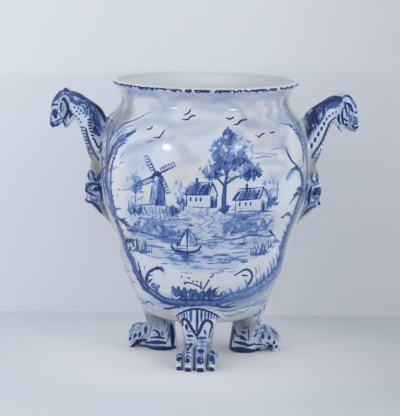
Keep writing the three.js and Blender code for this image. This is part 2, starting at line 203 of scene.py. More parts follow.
class Painting:
    """Brush work on one piece. Every vertex has a place on a drawing: across, and up in millimetres.

    On a turned piece across is an azimuth in radians, and girth gives the millimetres to a radian."""

    def __init__(self, across, up, girth=None, where=None):
        self.across = across
        self.up = up
        self.turned = girth is not None
        self.girth = girth or (lambda height: np.ones_like(height))
        self.scale = self.girth(up)
        self.where = np.ones(len(up), bool) if where is None else where
        self.rank = np.argsort(up, kind="stable")
        self.ranked_up = up[self.rank]
        for layer in LAYERS:
            setattr(self, layer, np.zeros(len(up)))
        self.tone += 0.5

    def measure(self, points, width, ends, reach):
        """Vertices near a mark, and how deep inside it they lie in millimetres."""
        path = self.smooth_turned(points) if self.turned else smooth_line(points, PATH_STEP)
        middle = path[:, 0].mean()
        flat = np.stack([(path[:, 0] - middle) * self.girth(path[:, 1]), path[:, 1]], axis=1)
        spread = width / 2 + reach
        low, high = flat.min(axis=0) - spread, flat.max(axis=0) + spread
        first, last = np.searchsorted(self.ranked_up, [low[1], high[1]])
        band = self.rank[first:last]
        offset = self.across[band] - middle
        if self.turned:
            offset = (offset + math.pi) % (2 * math.pi) - math.pi
        offset = offset * self.scale[band]
        inside = (offset > low[0]) & (offset < high[0]) & self.where[band]
        near = band[inside]
        spot = np.stack([offset[inside], self.up[near]], axis=1)[:, None]
        start, run = flat[:-1], np.diff(flat, axis=0)
        length = np.maximum((run ** 2).sum(axis=1), 1e-9)
        share = np.clip(((spot - start) * run).sum(axis=2) / length, 0, 1)
        gap = np.linalg.norm(spot - start - share[..., None] * run, axis=2)
        gone = (np.arange(len(run)) + share) / len(run)
        radius = width / 2 * np.interp(gone, [0, WIDEST, 1], [ends[0], 1, ends[1]])
        return near, (radius - gap).max(axis=1)

    def smooth_turned(self, points):
        """A smooth line on the turned piece, with even steps in millimetres."""
        rows = np.array(points, float)
        size = self.girth(rows[:, 1].mean())
        path = smooth_line(rows * [size, 1], PATH_STEP)
        return path / [size, 1]

    def cover(self, points, width, ends=(1, 1), reach=REACH, softness=2 * REACH):
        """Vertices near a mark, and its value there: a half at its edge, and 1 well inside."""
        near, depth = self.measure(points, width, ends, reach)
        return near, np.clip(0.5 + depth / softness, 0, 1)

    def mark(self, points, width=2.0, tone=0.55, ends=(0.5, 0.3)):
        """A stroke of diluted cobalt, from pale (0.2) to deep (0.8)."""
        near, value = self.cover(points, width, ends)
        wet = np.clip((self.brush[near] - PAINTED) / WET_SPAN, 0, 1)
        layered = np.minimum(FRESH_SHARE * tone + UNDER_SHARE * self.tone[near], DEEPEST)
        mixed = tone + (layered - tone) * wet
        laid = np.where(self.brush[near] < PAINTED, value > self.brush[near], value > OVER_PAINT)
        self.tone[near[laid]] = mixed[laid]
        self.brush[near] = np.maximum(self.brush[near], value)

    def outline(self, points, width=1.6, ends=(0.7, 0.5)):
        """A stroke of dark, nearly black blue."""
        near, value = self.cover(points, width, ends)
        self.line[near] = np.maximum(self.line[near], value)

    def bare(self, points, width=2.0, ends=(1, 1)):
        """White glaze left free, or scratched out of the paint."""
        near, value = self.cover(points, width, ends)
        self.brush[near] = np.minimum(self.brush[near], 1 - value)
        self.line[near] = np.minimum(self.line[near], 1 - value)
        self.wash[near] *= np.clip(1.25 - 1.5 * value, 0, 1)

    def soak(self, points, width=12.0, strength=0.5, soft=0.6):
        """A pale wash that runs out softly at its edge."""
        near, value = self.cover(points, width, (0.8, 0.8), SOAK_REACH * width, soft * width)
        self.wash[near] = 1 - (1 - self.wash[near]) * (1 - strength * value)

    def rust(self, points, width=4.0, strength=1.0):
        """Brown clay, where the glaze is worn or chipped off."""
        near, value = self.cover(points, width, (1, 1), SOAK_REACH * width, STAIN_SOFTNESS * width)
        self.stain[near] = np.maximum(self.stain[near], strength * value)

    def dull(self, points, width=6.0, strength=0.7):
        """Grey-olive glaze, where the blue is missing."""
        near, value = self.cover(points, width, (1, 1), DULL_REACH * width, DULL_SOFTNESS * width)
        self.earth[near] = np.maximum(self.earth[near], strength * value)

    def dot(self, spot, width=2.4, tone=None):
        x, z = spot
        points = [(x, z - 0.01), (x, z + 0.01)]
        if tone is None:
            self.outline(points, width, (1, 1))
        else:
            self.mark(points, width, tone, (1, 1))

    def keep(self, mesh):
        """Write the brush work into the mesh's colour attributes."""
        whole = np.ones_like(self.stain)
        for name, layers in (
            ("painting", [self.wash, self.brush, self.tone, self.line]),
            ("ageing_and_painted_light", [self.stain, self.earth, self.inside, whole]),
        ):
            attribute = mesh.color_attributes.new(name, "FLOAT_COLOR", "POINT")
            attribute.data.foreach_set("color", np.stack(layers, axis=1).ravel())

    def take(self, other):
        """Add another drawing's marks, each where that drawing is seen."""
        for layer in LAYERS:
            getattr(self, layer)[other.where] = getattr(other, layer)[other.where]


# Habits of the brush: ranges that lengths and widths are drawn from as shares, a stroke's bow as a
# share of its length, and how its two ends thin out
DAB_LENGTHS, DAB_WIDTHS, DAB_BOW, DAB_ENDS = (0.6, 1.3), (0.7, 1.25), 0.15, (0.9, 0.25)
FEATHER_LENGTHS, FEATHER_WIDTHS, FEATHER_BOW, FEATHER_ENDS = (0.6, 1.25), (0.75, 1.2), 0.12, (0.9, 0.2)
HATCH_LENGTHS, HATCH_WIDTHS, HATCH_ENDS = (0.75, 1.05), (0.8, 1.2), (0.9, 0.6)
RIPPLE_WIDTHS, RIPPLE_ENDS = (0.7, 1.2), (0.3, 0.3)
# Millimetres: how long ripples are, and how far their points rise or fall
RIPPLE_LENGTHS, RIPPLE_WAVE = (8, 26), (-0.8, 0.8)


def along(path, share):
    rows = np.array(path, float)
    at = np.clip(share, 0, 1) * (len(rows) - 1)
    return np.array([np.interp(at, np.arange(len(rows)), column) for column in rows.T])


class Turned:
    """Draws on the vase's front or back elevation: x in millimetres from the axis, and the height.

    Its dabs, feathers, hatching and ripples are loosely spaced, as by hand."""

    def __init__(self, painting, side):
        self.painting = painting
        self.side = side
        self.chance = None

    def place(self, points):
        placed = []
        for x, height in points:
            share = np.clip(self.side * x / body_radius(height), -0.995, 0.995)
            azimuth = math.asin(share)
            placed.append((azimuth if self.side > 0 else math.pi - azimuth, height))
        return placed

    def __getattr__(self, name):
        draw = getattr(self.painting, name)

        def drawn(points, *settings):
            if name == "dot":
                return draw(self.place([points])[0], *settings)
            return draw(self.place(points), *settings)
        return drawn

    def dabs(self, centre, half, count, length=6.0, width=2.6, tones=(0.4, 0.8), lean=None, spread=0.5):
        """Short strokes over an oval. They point away from its centre, or lean one way (in degrees)."""
        for _ in range(count):
            turn = self.chance.uniform(0, 2 * math.pi)
            far = math.sqrt(self.chance.random())
            x = centre[0] + half[0] * far * math.cos(turn)
            z = centre[1] + half[1] * far * math.sin(turn)
            way = turn if lean is None else math.radians(lean)
            way += self.chance.normal(0, spread)
            size = length * self.chance.uniform(*DAB_LENGTHS)
            tip = (x + size * math.cos(way), z + size * math.sin(way))
            bow = self.chance.uniform(-DAB_BOW, DAB_BOW) * size
            middle = ((x + tip[0]) / 2 - bow * math.sin(way), (z + tip[1]) / 2 + bow * math.cos(way))
            wide = width * self.chance.uniform(*DAB_WIDTHS)
            self.mark([(x, z), middle, tip], wide, self.chance.uniform(*tones), DAB_ENDS)

    def feathers(self, path, count, length, width, tones, turn, spread=18):
        """Strokes that leave a path at an angle in degrees: positive turns to the left of its run."""
        for step in range(count):
            share = (step + self.chance.uniform(0.1, 0.9)) / count
            foot = along(path, share)
            run = along(path, min(share + 0.03, 1)) - along(path, max(share - 0.03, 0))
            way = math.atan2(run[1], run[0]) + math.radians(turn + self.chance.normal(0, spread))
            size = length * self.chance.uniform(*FEATHER_LENGTHS)
            tip = foot + size * np.array([math.cos(way), math.sin(way)])
            aside = np.array([-math.sin(way), math.cos(way)]) * np.sign(turn)
            middle = (foot + tip) / 2 + FEATHER_BOW * size * aside
            wide = width * self.chance.uniform(*FEATHER_WIDTHS)
            self.mark([foot, middle, tip], wide, self.chance.uniform(*tones), FEATHER_ENDS)

    def hatch(self, start, end, count, width=2.2, tones=(0.4, 0.7), loose=0.04):
        """Side-by-side strokes from one edge to another, as on roofs and banks."""
        for step in range(count):
            share = (step + 0.5) / count
            foot = along(start, share + self.chance.uniform(-loose, loose))
            tip = along(end, share + self.chance.uniform(-loose, loose))
            cut = self.chance.uniform(*HATCH_LENGTHS)
            wide = width * self.chance.uniform(*HATCH_WIDTHS)
            self.mark([foot, foot + (tip - foot) * cut], wide, self.chance.uniform(*tones), HATCH_ENDS)

    def ripples(self, low, high, left, right, count, width=2.2, tones=(0.3, 0.6)):
        """Level strokes of water or ground."""
        for _ in range(count):
            z = self.chance.uniform(low, high)
            size = self.chance.uniform(*RIPPLE_LENGTHS)
            x = self.chance.uniform(left, right - size)
            middle = (x + size / 2, z + self.chance.uniform(*RIPPLE_WAVE))
            end = (x + size, z + self.chance.uniform(*RIPPLE_WAVE))
            wide = width * self.chance.uniform(*RIPPLE_WIDTHS)
            self.mark([(x, z), middle, end], wide, self.chance.uniform(*tones), RIPPLE_ENDS)


def vertices_of(piece):
    spots = np.empty(3 * len(piece.data.vertices))
    piece.data.vertices.foreach_get("co", spots)
    return spots.reshape(-1, 3) / MM


def body_painting(piece):
    """A drawing round the outside of the bowl or the neck."""
    spots = vertices_of(piece)
    azimuth = np.arctan2(spots[:, 0], -spots[:, 1])
    radius = np.hypot(spots[:, 0], spots[:, 1])
    outside = (radius > body_radius(spots[:, 2]) - 3) & (spots[:, 2] > BASE_HEIGHT)
    return Painting(azimuth, spots[:, 2], girth=body_radius, where=outside)


def strokes(stroke, rows, *settings):
    """Marks of one kind. A row holds what its kind asks for, up to the settings that all rows share."""
    for row in rows:
        stroke(*row, *settings)


# Landscape in the frame: a windmill on a knoll, trees and cottages, and a sailing boat on a river

MILL = (-60, 259)
SAIL_LENGTH = 27


def paint_windmill(draw):
    draw.soak([(-58, 222), (-58, 252)], 15, 0.5)
    draw.hatch([(-60, 220), (-50, 220)], [(-59, 254), (-54, 254)], 6, 2.4, (0.5, 0.75))
    draw.hatch([(-68, 220), (-61, 220)], [(-64, 254), (-61, 254)], 3, 1.8, (0.25, 0.4))
    draw.mark([(-66, 255), (-60, 261), (-53, 255)], 6, 0.78, (0.7, 0.7))
    strokes(draw.outline, (
        ([(-69, 220), (-67, 236), (-65, 254)], 1.6), ([(-49, 220), (-51, 238), (-54, 254)], 2),
        ([(-67, 254), (-62, 262), (-57, 262), (-52, 254)], 1.8), ([(-60, 220), (-60, 227)], 4, (1, 0.7)),
    ))
    draw.bare([(-61, 240), (-61, 243)], 2.4)
    for quarter in range(4):
        way = math.radians(28 + 90 * quarter)
        reach = np.array([math.cos(way), math.sin(way)])
        across = np.array([-math.sin(way), math.cos(way)])
        hub = np.array(MILL, float)
        draw.outline([hub, hub + reach * SAIL_LENGTH], 1.9, (1, 0.6))
        draw.mark([hub + reach * 7 + across * 5.5, hub + reach * SAIL_LENGTH + across * 5.5], 1.5, 0.7)
        for rung in range(6):
            foot = hub + reach * (7 + rung * 3.9)
            draw.mark([foot, foot + across * 5.5], 1.5, 0.62, (0.9, 0.9))
        draw.soak([hub + reach * 9 + across * 2.6, hub + reach * 25 + across * 2.6], 6, 0.45)
    draw.outline([(-61, 240), (-61, 242)], 1.6)
    draw.dot(MILL, 3.4)


def paint_knoll(draw):
    draw.soak([(-98, 204), (-70, 212), (-36, 208)], 14, 0.34)
    draw.soak([(-104, 236), (-92, 240), (-78, 236)], 7, 0.34)
    draw.mark([(-100, 208), (-84, 216), (-66, 220), (-46, 219), (-30, 212)], 2, 0.55, (0.3, 0.3))
    crest, toe = [(-98, 207), (-70, 217), (-36, 213)], [(-92, 198), (-66, 206), (-30, 203)]
    draw.hatch(crest, toe, 20, 2, (0.3, 0.6), 0.03)
    strokes(draw.dabs, (
        ((-88, 208), (9, 6), 20, 6, 2.8, (0.45, 0.8), 80, 0.6),
        ((-96, 214), (6, 5), 9, 5, 2.4, (0.3, 0.55), 80, 0.6),
        ((-38, 212), (6, 5), 14, 5, 2.6, (0.5, 0.85), 80, 0.6),
    ))
    for step in range(6):
        x = -47 + 3.4 * step
        draw.outline([(x, 214 - 0.6 * step), (x, 220 - 0.6 * step)], 1.5)
    draw.mark([(-48, 218), (-29, 214)], 1.5, 0.6)
    for x, z in ((-82, 226), (-78, 229), (-90, 228)):
        draw.mark([(x - 4, z - 4), (x, z), (x + 4, z - 3)], 2, 0.34)
    draw.mark([(-106, 233), (-92, 236), (-76, 232)], 2.2, 0.3)


def paint_trees(draw):
    for spot, wide, strength in (
        ((30, 286), 38, 0.55), ((30, 306), 18, 0.45), ((8, 264), 22, 0.5), ((56, 264), 24, 0.5),
        ((34, 264), 26, 0.4),
    ):
        draw.soak([spot, (spot[0] + 1, spot[1])], wide, strength, 0.4)
    draw.mark([(26, 214), (25, 232), (27, 250), (30, 268)], 5, 0.72, (1.2, 0.5))
    for branch in (
        [(27, 246), (18, 256), (8, 262)], [(28, 250), (40, 258), (54, 262)],
        [(29, 262), (22, 276), (20, 288)], [(30, 266), (40, 280), (42, 292)],
    ):
        draw.mark(branch, 2.6, 0.74, (1, 0.3))
    for centre, half, count, tones in (
        ((30, 288), (22, 20), 90, (0.32, 0.62)), ((30, 308), (9, 11), 28, (0.4, 0.75)),
        ((40, 278), (16, 12), 34, (0.45, 0.8)), ((8, 264), (12, 10), 34, (0.3, 0.62)),
        ((12, 260), (8, 5), 12, (0.5, 0.8)), ((57, 264), (14, 11), 44, (0.3, 0.6)),
        ((60, 259), (11, 6), 18, (0.6, 0.88)), ((20, 276), (10, 9), 18, (0.5, 0.8)),
    ):
        draw.dabs(centre, half, count, 6, 2.9, tones, 62, 0.75)
    for x, z in (
        (30, 322), (25, 316), (36, 314), (10, 296), (52, 292), (-4, 272), (72, 270), (18, 308), (46, 302),
    ):
        draw.mark([(x - 2, z - 4), (x, z)], 2.2, draw.chance.uniform(0.45, 0.8), (0.9, 0.3))
    draw.outline([(28.5, 214), (27.5, 232), (29, 248)], 1.8)
    # Saplings beside the mill
    draw.soak([(-87, 240), (-86, 240)], 16, 0.4, 0.4)
    draw.mark([(-88, 218), (-87, 232)], 2, 0.6)
    draw.dabs((-87, 240), (7, 9), 24, 5, 2.4, (0.4, 0.72), 75, 0.7)
    draw.mark([(-76, 268), (-82, 262)], 1.6, 0.3)


def paint_cottage(draw, left, right, ground, eaves, ridge, tones):
    """Gabled cottage: its long side to the left, its gable to the right."""
    gable = right - 0.24 * (right - left)
    peak = (gable + right) / 2 - 1
    inset = left + 0.12 * (right - left)
    draw.soak([(left + 3, (ground + eaves) / 2), (gable, (ground + eaves) / 2)], eaves - ground, 0.2, 0.4)
    draw.soak([(inset, (eaves + ridge) / 2), (peak, (eaves + ridge) / 2)], ridge - eaves, 0.5, 0.3)
    count = int((gable - left) / 1.9)
    roof_low, roof_high = [(left - 3, eaves), (gable - 1, eaves)], [(inset, ridge), (peak, ridge)]
    draw.hatch(roof_low, roof_high, count, 2.1, tones)
    wall_low, wall_high = [(gable + 1, ground), (right, ground)], [(gable + 1, eaves), (right - 1, eaves)]
    draw.hatch(wall_low, wall_high, 4, 1.8, (0.45, 0.7))
    draw.mark([(left, ground), (right, ground - 1)], 1.6, 0.6)
    wall = (eaves - ground) / 2
    for share in (0.18, 0.42, 0.62):
        x = left + share * (gable - left)
        draw.outline([(x, ground + wall), (x, ground + 1.45 * wall)], 2.2, (1, 1))
    chimney = inset + 0.3 * (peak - inset)
    draw.mark([(chimney, ridge - 1), (chimney, ridge + 5)], 3.4, 0.74, (1, 1))
    draw.soak([(chimney + 1, ridge + 8), (chimney + 5, ridge + 14), (chimney + 3, ridge + 20)], 4, 0.22)
    strokes(draw.outline, (
        ([(left - 4, eaves - 0.5), (gable, eaves)], 1.9), ([(peak, ridge + 1), (gable, eaves)], 1.7),
        ([(peak, ridge + 1), (right + 2, eaves - 1)], 2.2),
        ([(inset - 1, ridge), (peak, ridge + 0.6)], 1.5), ([(left, ground), (left, eaves)], 1.5),
        ([(right, ground), (right, eaves)], 1.9),
        ([(gable + 4, ground), (gable + 4, ground + 1.2 * wall)], 3, (1, 0.8)),
    ))


def paint_village(draw):
    draw.soak([(84, 232), (92, 238), (98, 234)], 8, 0.3)
    draw.mark([(94, 226), (94, 240)], 2.6, 0.4, (1, 0.8))
    draw.mark([(94, 240), (94, 250)], 2, 0.44, (1, 0.1))
    paint_cottage(draw, -22, 16, 220, 236, 251, (0.45, 0.78))
    paint_cottage(draw, 40, 82, 214, 229, 243, (0.5, 0.82))
    strokes(draw.dabs, (
        ((88, 222), (7, 7), 26, 6, 2.8, (0.45, 0.8), 78, 0.6),
        ((-28, 222), (5, 7), 16, 5, 2.6, (0.45, 0.75), 80, 0.6),
        ((28, 216), (8, 4), 16, 5, 2.6, (0.55, 0.85), 80, 0.7),
    ))
    draw.mark([(-2, 219), (-6, 210), (4, 202), (-8, 192), (-2, 184)], 1.7, 0.4)
    draw.mark([(7, 219), (4, 211), (14, 203), (6, 192), (14, 184)], 1.7, 0.4)


def paint_banks(draw):
    strokes(draw.soak, (
        ([(-92, 196), (-60, 198), (-20, 200)], 12, 0.26), ([(20, 204), (60, 202), (92, 204)], 14, 0.4),
        ([(-96, 184), (-50, 182), (-10, 184)], 12, 0.44), ([(18, 188), (60, 186), (88, 188)], 14, 0.44),
        ([(-100, 176), (-60, 172), (-20, 174)], 8, 0.3),
    ))
    strokes(draw.ripples, (
        (196, 212, 18, 92, 26, 2.2, (0.3, 0.62)), (188, 204, -92, -10, 24, 2, (0.28, 0.5)),
        (182, 196, 20, 92, 18, 2.2, (0.34, 0.62)),
    ))
    for centre, half, count, tones in (
        ((-74, 188), (16, 7), 42, (0.25, 0.62)), ((-48, 184), (14, 7), 42, (0.25, 0.66)),
        ((-24, 182), (12, 6), 28, (0.28, 0.66)), ((-60, 196), (10, 4), 16, (0.24, 0.5)),
        ((34, 188), (12, 6), 28, (0.28, 0.66)), ((60, 190), (14, 7), 36, (0.26, 0.6)),
        ((82, 194), (9, 6), 20, (0.3, 0.56)), ((-90, 178), (8, 6), 16, (0.3, 0.6)),
        ((46, 202), (10, 4), 12, (0.3, 0.6)),
    ):
        draw.dabs(centre, half, count, 5.5, 2.7, tones, 72, 0.7)
    for x in range(-96, 92, 5):
        if -4 < x < 14:
            continue
        z = 178 + 2 * math.sin(0.13 * x)
        low, high = draw.chance.uniform(-1, 1), draw.chance.uniform(-1, 1)
        draw.mark([(x - 3, z + low), (x + 4, z + high)], 2.6, draw.chance.uniform(0.42, 0.76))
    for x, z in (
        (-66, 201), (-62, 203), (-56, 202), (26, 210), (70, 209), (76, 210), (-82, 198), (-44, 200),
    ):
        draw.outline([(x, z), (x + 1.5, z + 3)], 1.9)


def paint_river(draw):
    for z, left, right, width, strength in (
        (171, -92, 84, 9, 0.46), (162, -84, 78, 9, 0.4), (152, -64, 66, 10, 0.44), (143, -46, 52, 8, 0.3),
        (136, -30, 44, 6, 0.2),
    ):
        draw.soak([(left, z), ((left + right) / 2, z - 2), (right, z)], width, strength, 0.8)
    strokes(draw.ripples, (
        (166, 176, -94, 88, 36, 2, (0.26, 0.56)), (154, 166, -80, 76, 30, 2, (0.24, 0.5)),
        (140, 154, -58, 62, 36, 2, (0.3, 0.62)), (130, 140, -34, 46, 12, 2, (0.26, 0.5)),
    ))
    draw.bare([(-60, 166), (-34, 165)], 3)
    draw.bare([(20, 160), (52, 160)], 3)
    # Boat with its sail
    draw.mark([(-40, 165), (-36, 159), (-20, 157.5), (-8, 160), (-3, 166)], 4.4, 0.82, (0.5, 0.5))
    draw.outline([(-42, 166), (-37, 160), (-20, 158.5), (-8, 161), (-2, 167)], 2.2)
    draw.bare([(-17, 168), (-14, 186)], 10, (1, 0.2))
    draw.bare([(-26, 168), (-23, 182)], 6, (1, 0.2))
    draw.hatch([(-18, 169), (-10, 169)], [(-19, 186), (-13, 182)], 4, 1.7, (0.3, 0.5))
    draw.mark([(-20, 194), (-15, 195.5), (-11, 193.5)], 1.8, 0.76)
    for step in range(5):
        z = 154 - 3 * step
        draw.mark([(-34 + 3 * step, z), (-8 - 2 * step, z - 0.5)], 2.4, 0.7 - 0.05 * step, (0.4, 0.4))
    strokes(draw.outline, (
        ([(-20.5, 160), (-20, 194)], 1.8), ([(-20, 191), (-11, 180), (-8, 168), (-19, 167)], 1.7),
        ([(-21, 189), (-27, 178), (-31, 168), (-22, 167)], 1.6), ([(-33, 166), (-33, 171)], 2.8, (1, 0.6)),
    ))
    # A far boat
    draw.mark([(52, 179), (57, 172)], 1.6, 0.5)
    draw.outline([(46, 170), (51, 168.5), (58, 170.5)], 1.9)
    draw.outline([(52, 170), (52, 180)], 1.5)
    # Reeds and grassy points of land
    draw.hatch([(-96, 158), (-66, 152)], [(-99, 172), (-66, 168)], 14, 1.8, (0.45, 0.8), 0.06)
    draw.dabs((-84, 153), (14, 3), 20, 5, 2.6, (0.5, 0.82), 20, 0.8)
    draw.hatch([(62, 152), (90, 160)], [(60, 164), (92, 173)], 12, 1.8, (0.4, 0.72), 0.06)
    draw.dabs((74, 153), (13, 3), 20, 5, 2.6, (0.5, 0.8), 160, 0.8)


def paint_underpainting(draw):
    strokes(draw.soak, (
        ([(-96, 222), (-60, 214), (-20, 214)], 16, 0.45), ([(-10, 212), (30, 208), (80, 212)], 16, 0.5),
        ([(-92, 192), (-50, 188), (0, 190), (50, 188), (92, 192)], 18, 0.42),
        ([(-94, 172), (-50, 170), (0, 170), (50, 168), (84, 172)], 14, 0.48),
        ([(-70, 154), (-30, 150), (20, 150), (64, 154)], 14, 0.46),
        ([(-40, 138), (0, 136), (44, 140)], 8, 0.34), ([(-100, 244), (-90, 256), (-84, 262)], 16, 0.3),
        ([(84, 236), (92, 250), (84, 258)], 14, 0.4), ([(-40, 236), (-34, 250), (-26, 262)], 10, 0.26),
    ), 0.8)
    """Pale washes and dabs below the draw."""
    strokes(draw.dabs, (
        ((0, 204), (88, 12), 100, 8, 2.4, (0.14, 0.3), 8, 0.5),
        ((0, 178), (88, 12), 80, 9, 2.4, (0.16, 0.34), 4, 0.3),
        ((34, 284), (30, 28), 70, 7, 3, (0.2, 0.36), 60, 0.7),
        ((84, 240), (12, 12), 22, 6, 2.8, (0.2, 0.36), 70, 0.6),
        ((-90, 246), (10, 14), 24, 6, 2.6, (0.18, 0.34), 70, 0.6),
        ((-32, 240), (8, 12), 16, 6, 2.6, (0.18, 0.34), 75, 0.6),
    ))


def paint_landscape(draw):
    paint_underpainting(draw)
    paint_knoll(draw)
    paint_windmill(draw)
    paint_village(draw)
    paint_trees(draw)
    paint_banks(draw)
    paint_river(draw)


# Foliage frame on the front, as [x, height] points of each stroke

LEFT_TRUNK = [
    (-128, 262), (-128, 246), (-126, 230), (-122, 214), (-118, 200), (-113, 186), (-107, 172), (-102, 158),
    (-97, 147), (-91, 137), (-87, 124), (-80, 111), (-71, 101), (-60, 94), (-48, 88), (-36, 85), (-18, 86),
    (0, 88),
]
RIGHT_TRUNK = [
    (121, 263), (127, 252), (129, 240), (126, 225), (120, 208), (116, 195), (111, 183), (107, 170),
    (103, 156), (101, 144), (98, 131), (89, 119), (76, 109), (60, 102), (42, 96), (22, 91), (0, 88),
]


def shifted(points, across, up):
    return [(x + across, z + up) for x, z in points]


def paint_left_frame(draw):
    strokes(draw.soak, (
        (LEFT_TRUNK, 18, 0.6), ([(-134, 262), (-132, 240), (-128, 222)], 14, 0.6),
        (shifted(LEFT_TRUNK[9:], -6, -5), 14, 0.5),
    ))
    draw.mark(LEFT_TRUNK, 9, 0.5, (0.7, 1))
    strokes(draw.feathers, (
        (LEFT_TRUNK[:9], 30, 11, 2.2, (0.4, 0.85), -168, 9),
        (LEFT_TRUNK[:9], 26, 10, 2.2, (0.45, 0.85), 170, 9),
        (LEFT_TRUNK[5:14], 20, 8, 2.4, (0.5, 0.85), 148, 14),
        (LEFT_TRUNK[8:], 26, 9, 2.4, (0.4, 0.8), 172, 8),
        (shifted(LEFT_TRUNK[8:], -3, -4), 24, 10, 2.2, (0.35, 0.8), -172, 8),
        (shifted(LEFT_TRUNK[11:], 0, 3), 16, 7, 2.4, (0.5, 0.85), 140, 20),
    ))
    strokes(draw.mark, (
        (shifted(LEFT_TRUNK[3:], -2.5, -2), 3, 0.78, (0.6, 0.8)),
        (shifted(LEFT_TRUNK[:8], 2.6, 0), 2.4, 0.8, (0.3, 0.4)),
        ([(-92, 122), (-84, 113), (-79, 101), (-70, 96), (-58, 88), (-46, 83), (-30, 82),
         (-10, 84)], 3.4, 0.74),
    ))
    strokes(draw.outline, (
        (shifted(LEFT_TRUNK[5:11], -2.5, -1), 2, (0.3, 0.4)),
        ([(-97, 148), (-93, 141), (-90, 137)], 3, (0.4, 0.4)),
        ([(-118, 204), (-111, 186), (-103, 166), (-97, 151)], 2.6, (0.4, 0.7)),
        ([(-97, 146), (-90, 131), (-84, 119), (-75, 106), (-66, 98)], 2.8, (0.6, 0.4)),
        ([(-89, 122), (-81, 107), (-70, 96), (-58, 89), (-44, 84), (-30, 83)], 2.4, (0.3, 0.4)),
    ))
    draw.bare([(-99, 156), (-94, 143), (-88, 130), (-84, 121)], 1.2, (0.4, 0.3))
    draw.bare([(-77, 107), (-68, 99), (-56, 92), (-46, 88)], 1, (0.4, 0.3))
    strokes(draw.dull, (
        (shifted(LEFT_TRUNK[3:9], -6, -2), 8, 0.5),
        ([(-136, 250), (-137, 275), (-134, 300), (-126, 320), (-118, 334), (-113, 348)], 17, 0.95),
        ([(-126, 298), (-116, 314), (-104, 326)], 15, 0.8),
        ([(-124, 308), (-110, 318), (-102, 330)], 20, 0.7),
        ([(-129, 302), (-124, 312), (-117, 322), (-111, 332), (-107, 342)], 10, 1.0),
        ([(-134, 196), (-126, 190), (-120, 176)], 12, 0.7),
    ))
    draw.mark(LEFT_TRUNK[:6], 5, 0.8, (0.8, 0.8))
    thick = [
        (-104, 297), (-112, 287), (-117, 273), (-120.6, 258), (-121.4, 244), (-121, 230), (-118, 214),
        (-114, 200),
    ]
    strokes(draw.mark, (
        (thick[:4], 3, 0.66, (0.4, 1)), (thick[2:], 6.4, 0.6, (0.4, 0.5)),
        (shifted(thick[2:], -4.4, 0), 6.4, 0.56, (0.4, 0.8)),
    ))
    draw.feathers(thick, 24, 6, 2.2, (0.66, 0.92), 160, 12)
    draw.feathers(thick[:6], 16, 5, 2, (0.6, 0.9), -158, 14)
    for strand in (
        [(-129, 238), (-128.4, 252), (-126.4, 264), (-123, 275), (-119, 284), (-113, 291)],
        [(-126, 252), (-124, 266), (-120, 277), (-115, 285)],
    ):
        draw.outline(strand, 4, (0.7, 0.4))
    edge = [(-134.4, 268), (-133.6, 252), (-132, 236), (-129.4, 220), (-124.6, 205), (-118.4, 191)]
    draw.mark(edge, 6, 0.56, (0.5, 0.5))
    draw.mark(shifted(edge, 2, 2), 2.4, 0.8, (0.5, 0.4))
    strokes(draw.mark, (
        ([(-134, 300), (-127, 318), (-119, 330), (-114, 342)], 5),
        ([(-136, 276), (-134, 296), (-128, 312)], 5), ([(-124, 306), (-114, 320), (-108, 334)], 4),
    ), 0.4, (0.6, 0.3))
    strokes(draw.mark, (
        ([(-134, 300), (-128, 318), (-119, 332), (-114, 346)], 3, 0.44),
        ([(-129, 302), (-122, 318), (-113, 330)], 2.6, 0.5),
        ([(-137, 286), (-137, 296), (-133, 308)], 3, 0.8),
        ([(-133, 258), (-134, 280), (-131, 300)], 3, 0.7),
        ([(-137, 262), (-136.6, 272), (-136, 280)], 3, 0.86),
        ([(-124, 310), (-118, 322), (-112, 332)], 2, 0.4),
        ([(-128, 262), (-128.6, 280), (-127, 298), (-123, 312)], 3.4, 0.84),
        ([(-112, 312), (-106, 322), (-104, 334)], 2.4, 0.36),
    ), (0.8, 0.3))
    strokes(draw.outline, (
        ([(-72, 103), (-62, 98), (-54, 93), (-46, 90), (-36, 90)], 2.4, (0.3, 0.4)),
        ([(-93, 124), (-88, 119), (-81, 109), (-78, 101)], 2, (0.6, 0.3)),
        (shifted(edge[1:], -0.6, 0), 2.2, (0.3, 0.3)),
    ))
    strokes(draw.outline, (
        ([(-137.6, 244), (-137.8, 262), (-136.6, 280), (-133, 296)], 2.2),
        ([(-133.6, 240), (-134, 262), (-132.6, 284), (-128, 302)], 2),
        ([(-131, 256), (-130.6, 276), (-127.6, 296), (-122, 312)], 1.8),
        ([(-128.6, 262), (-126, 284), (-119, 302)], 1.6),
        ([(-125, 270), (-119.6, 286), (-111, 298), (-104, 303)], 1.7),
        ([(-139, 256), (-139.4, 272), (-138.6, 286)], 2),
    ), (0.8, 0.2))
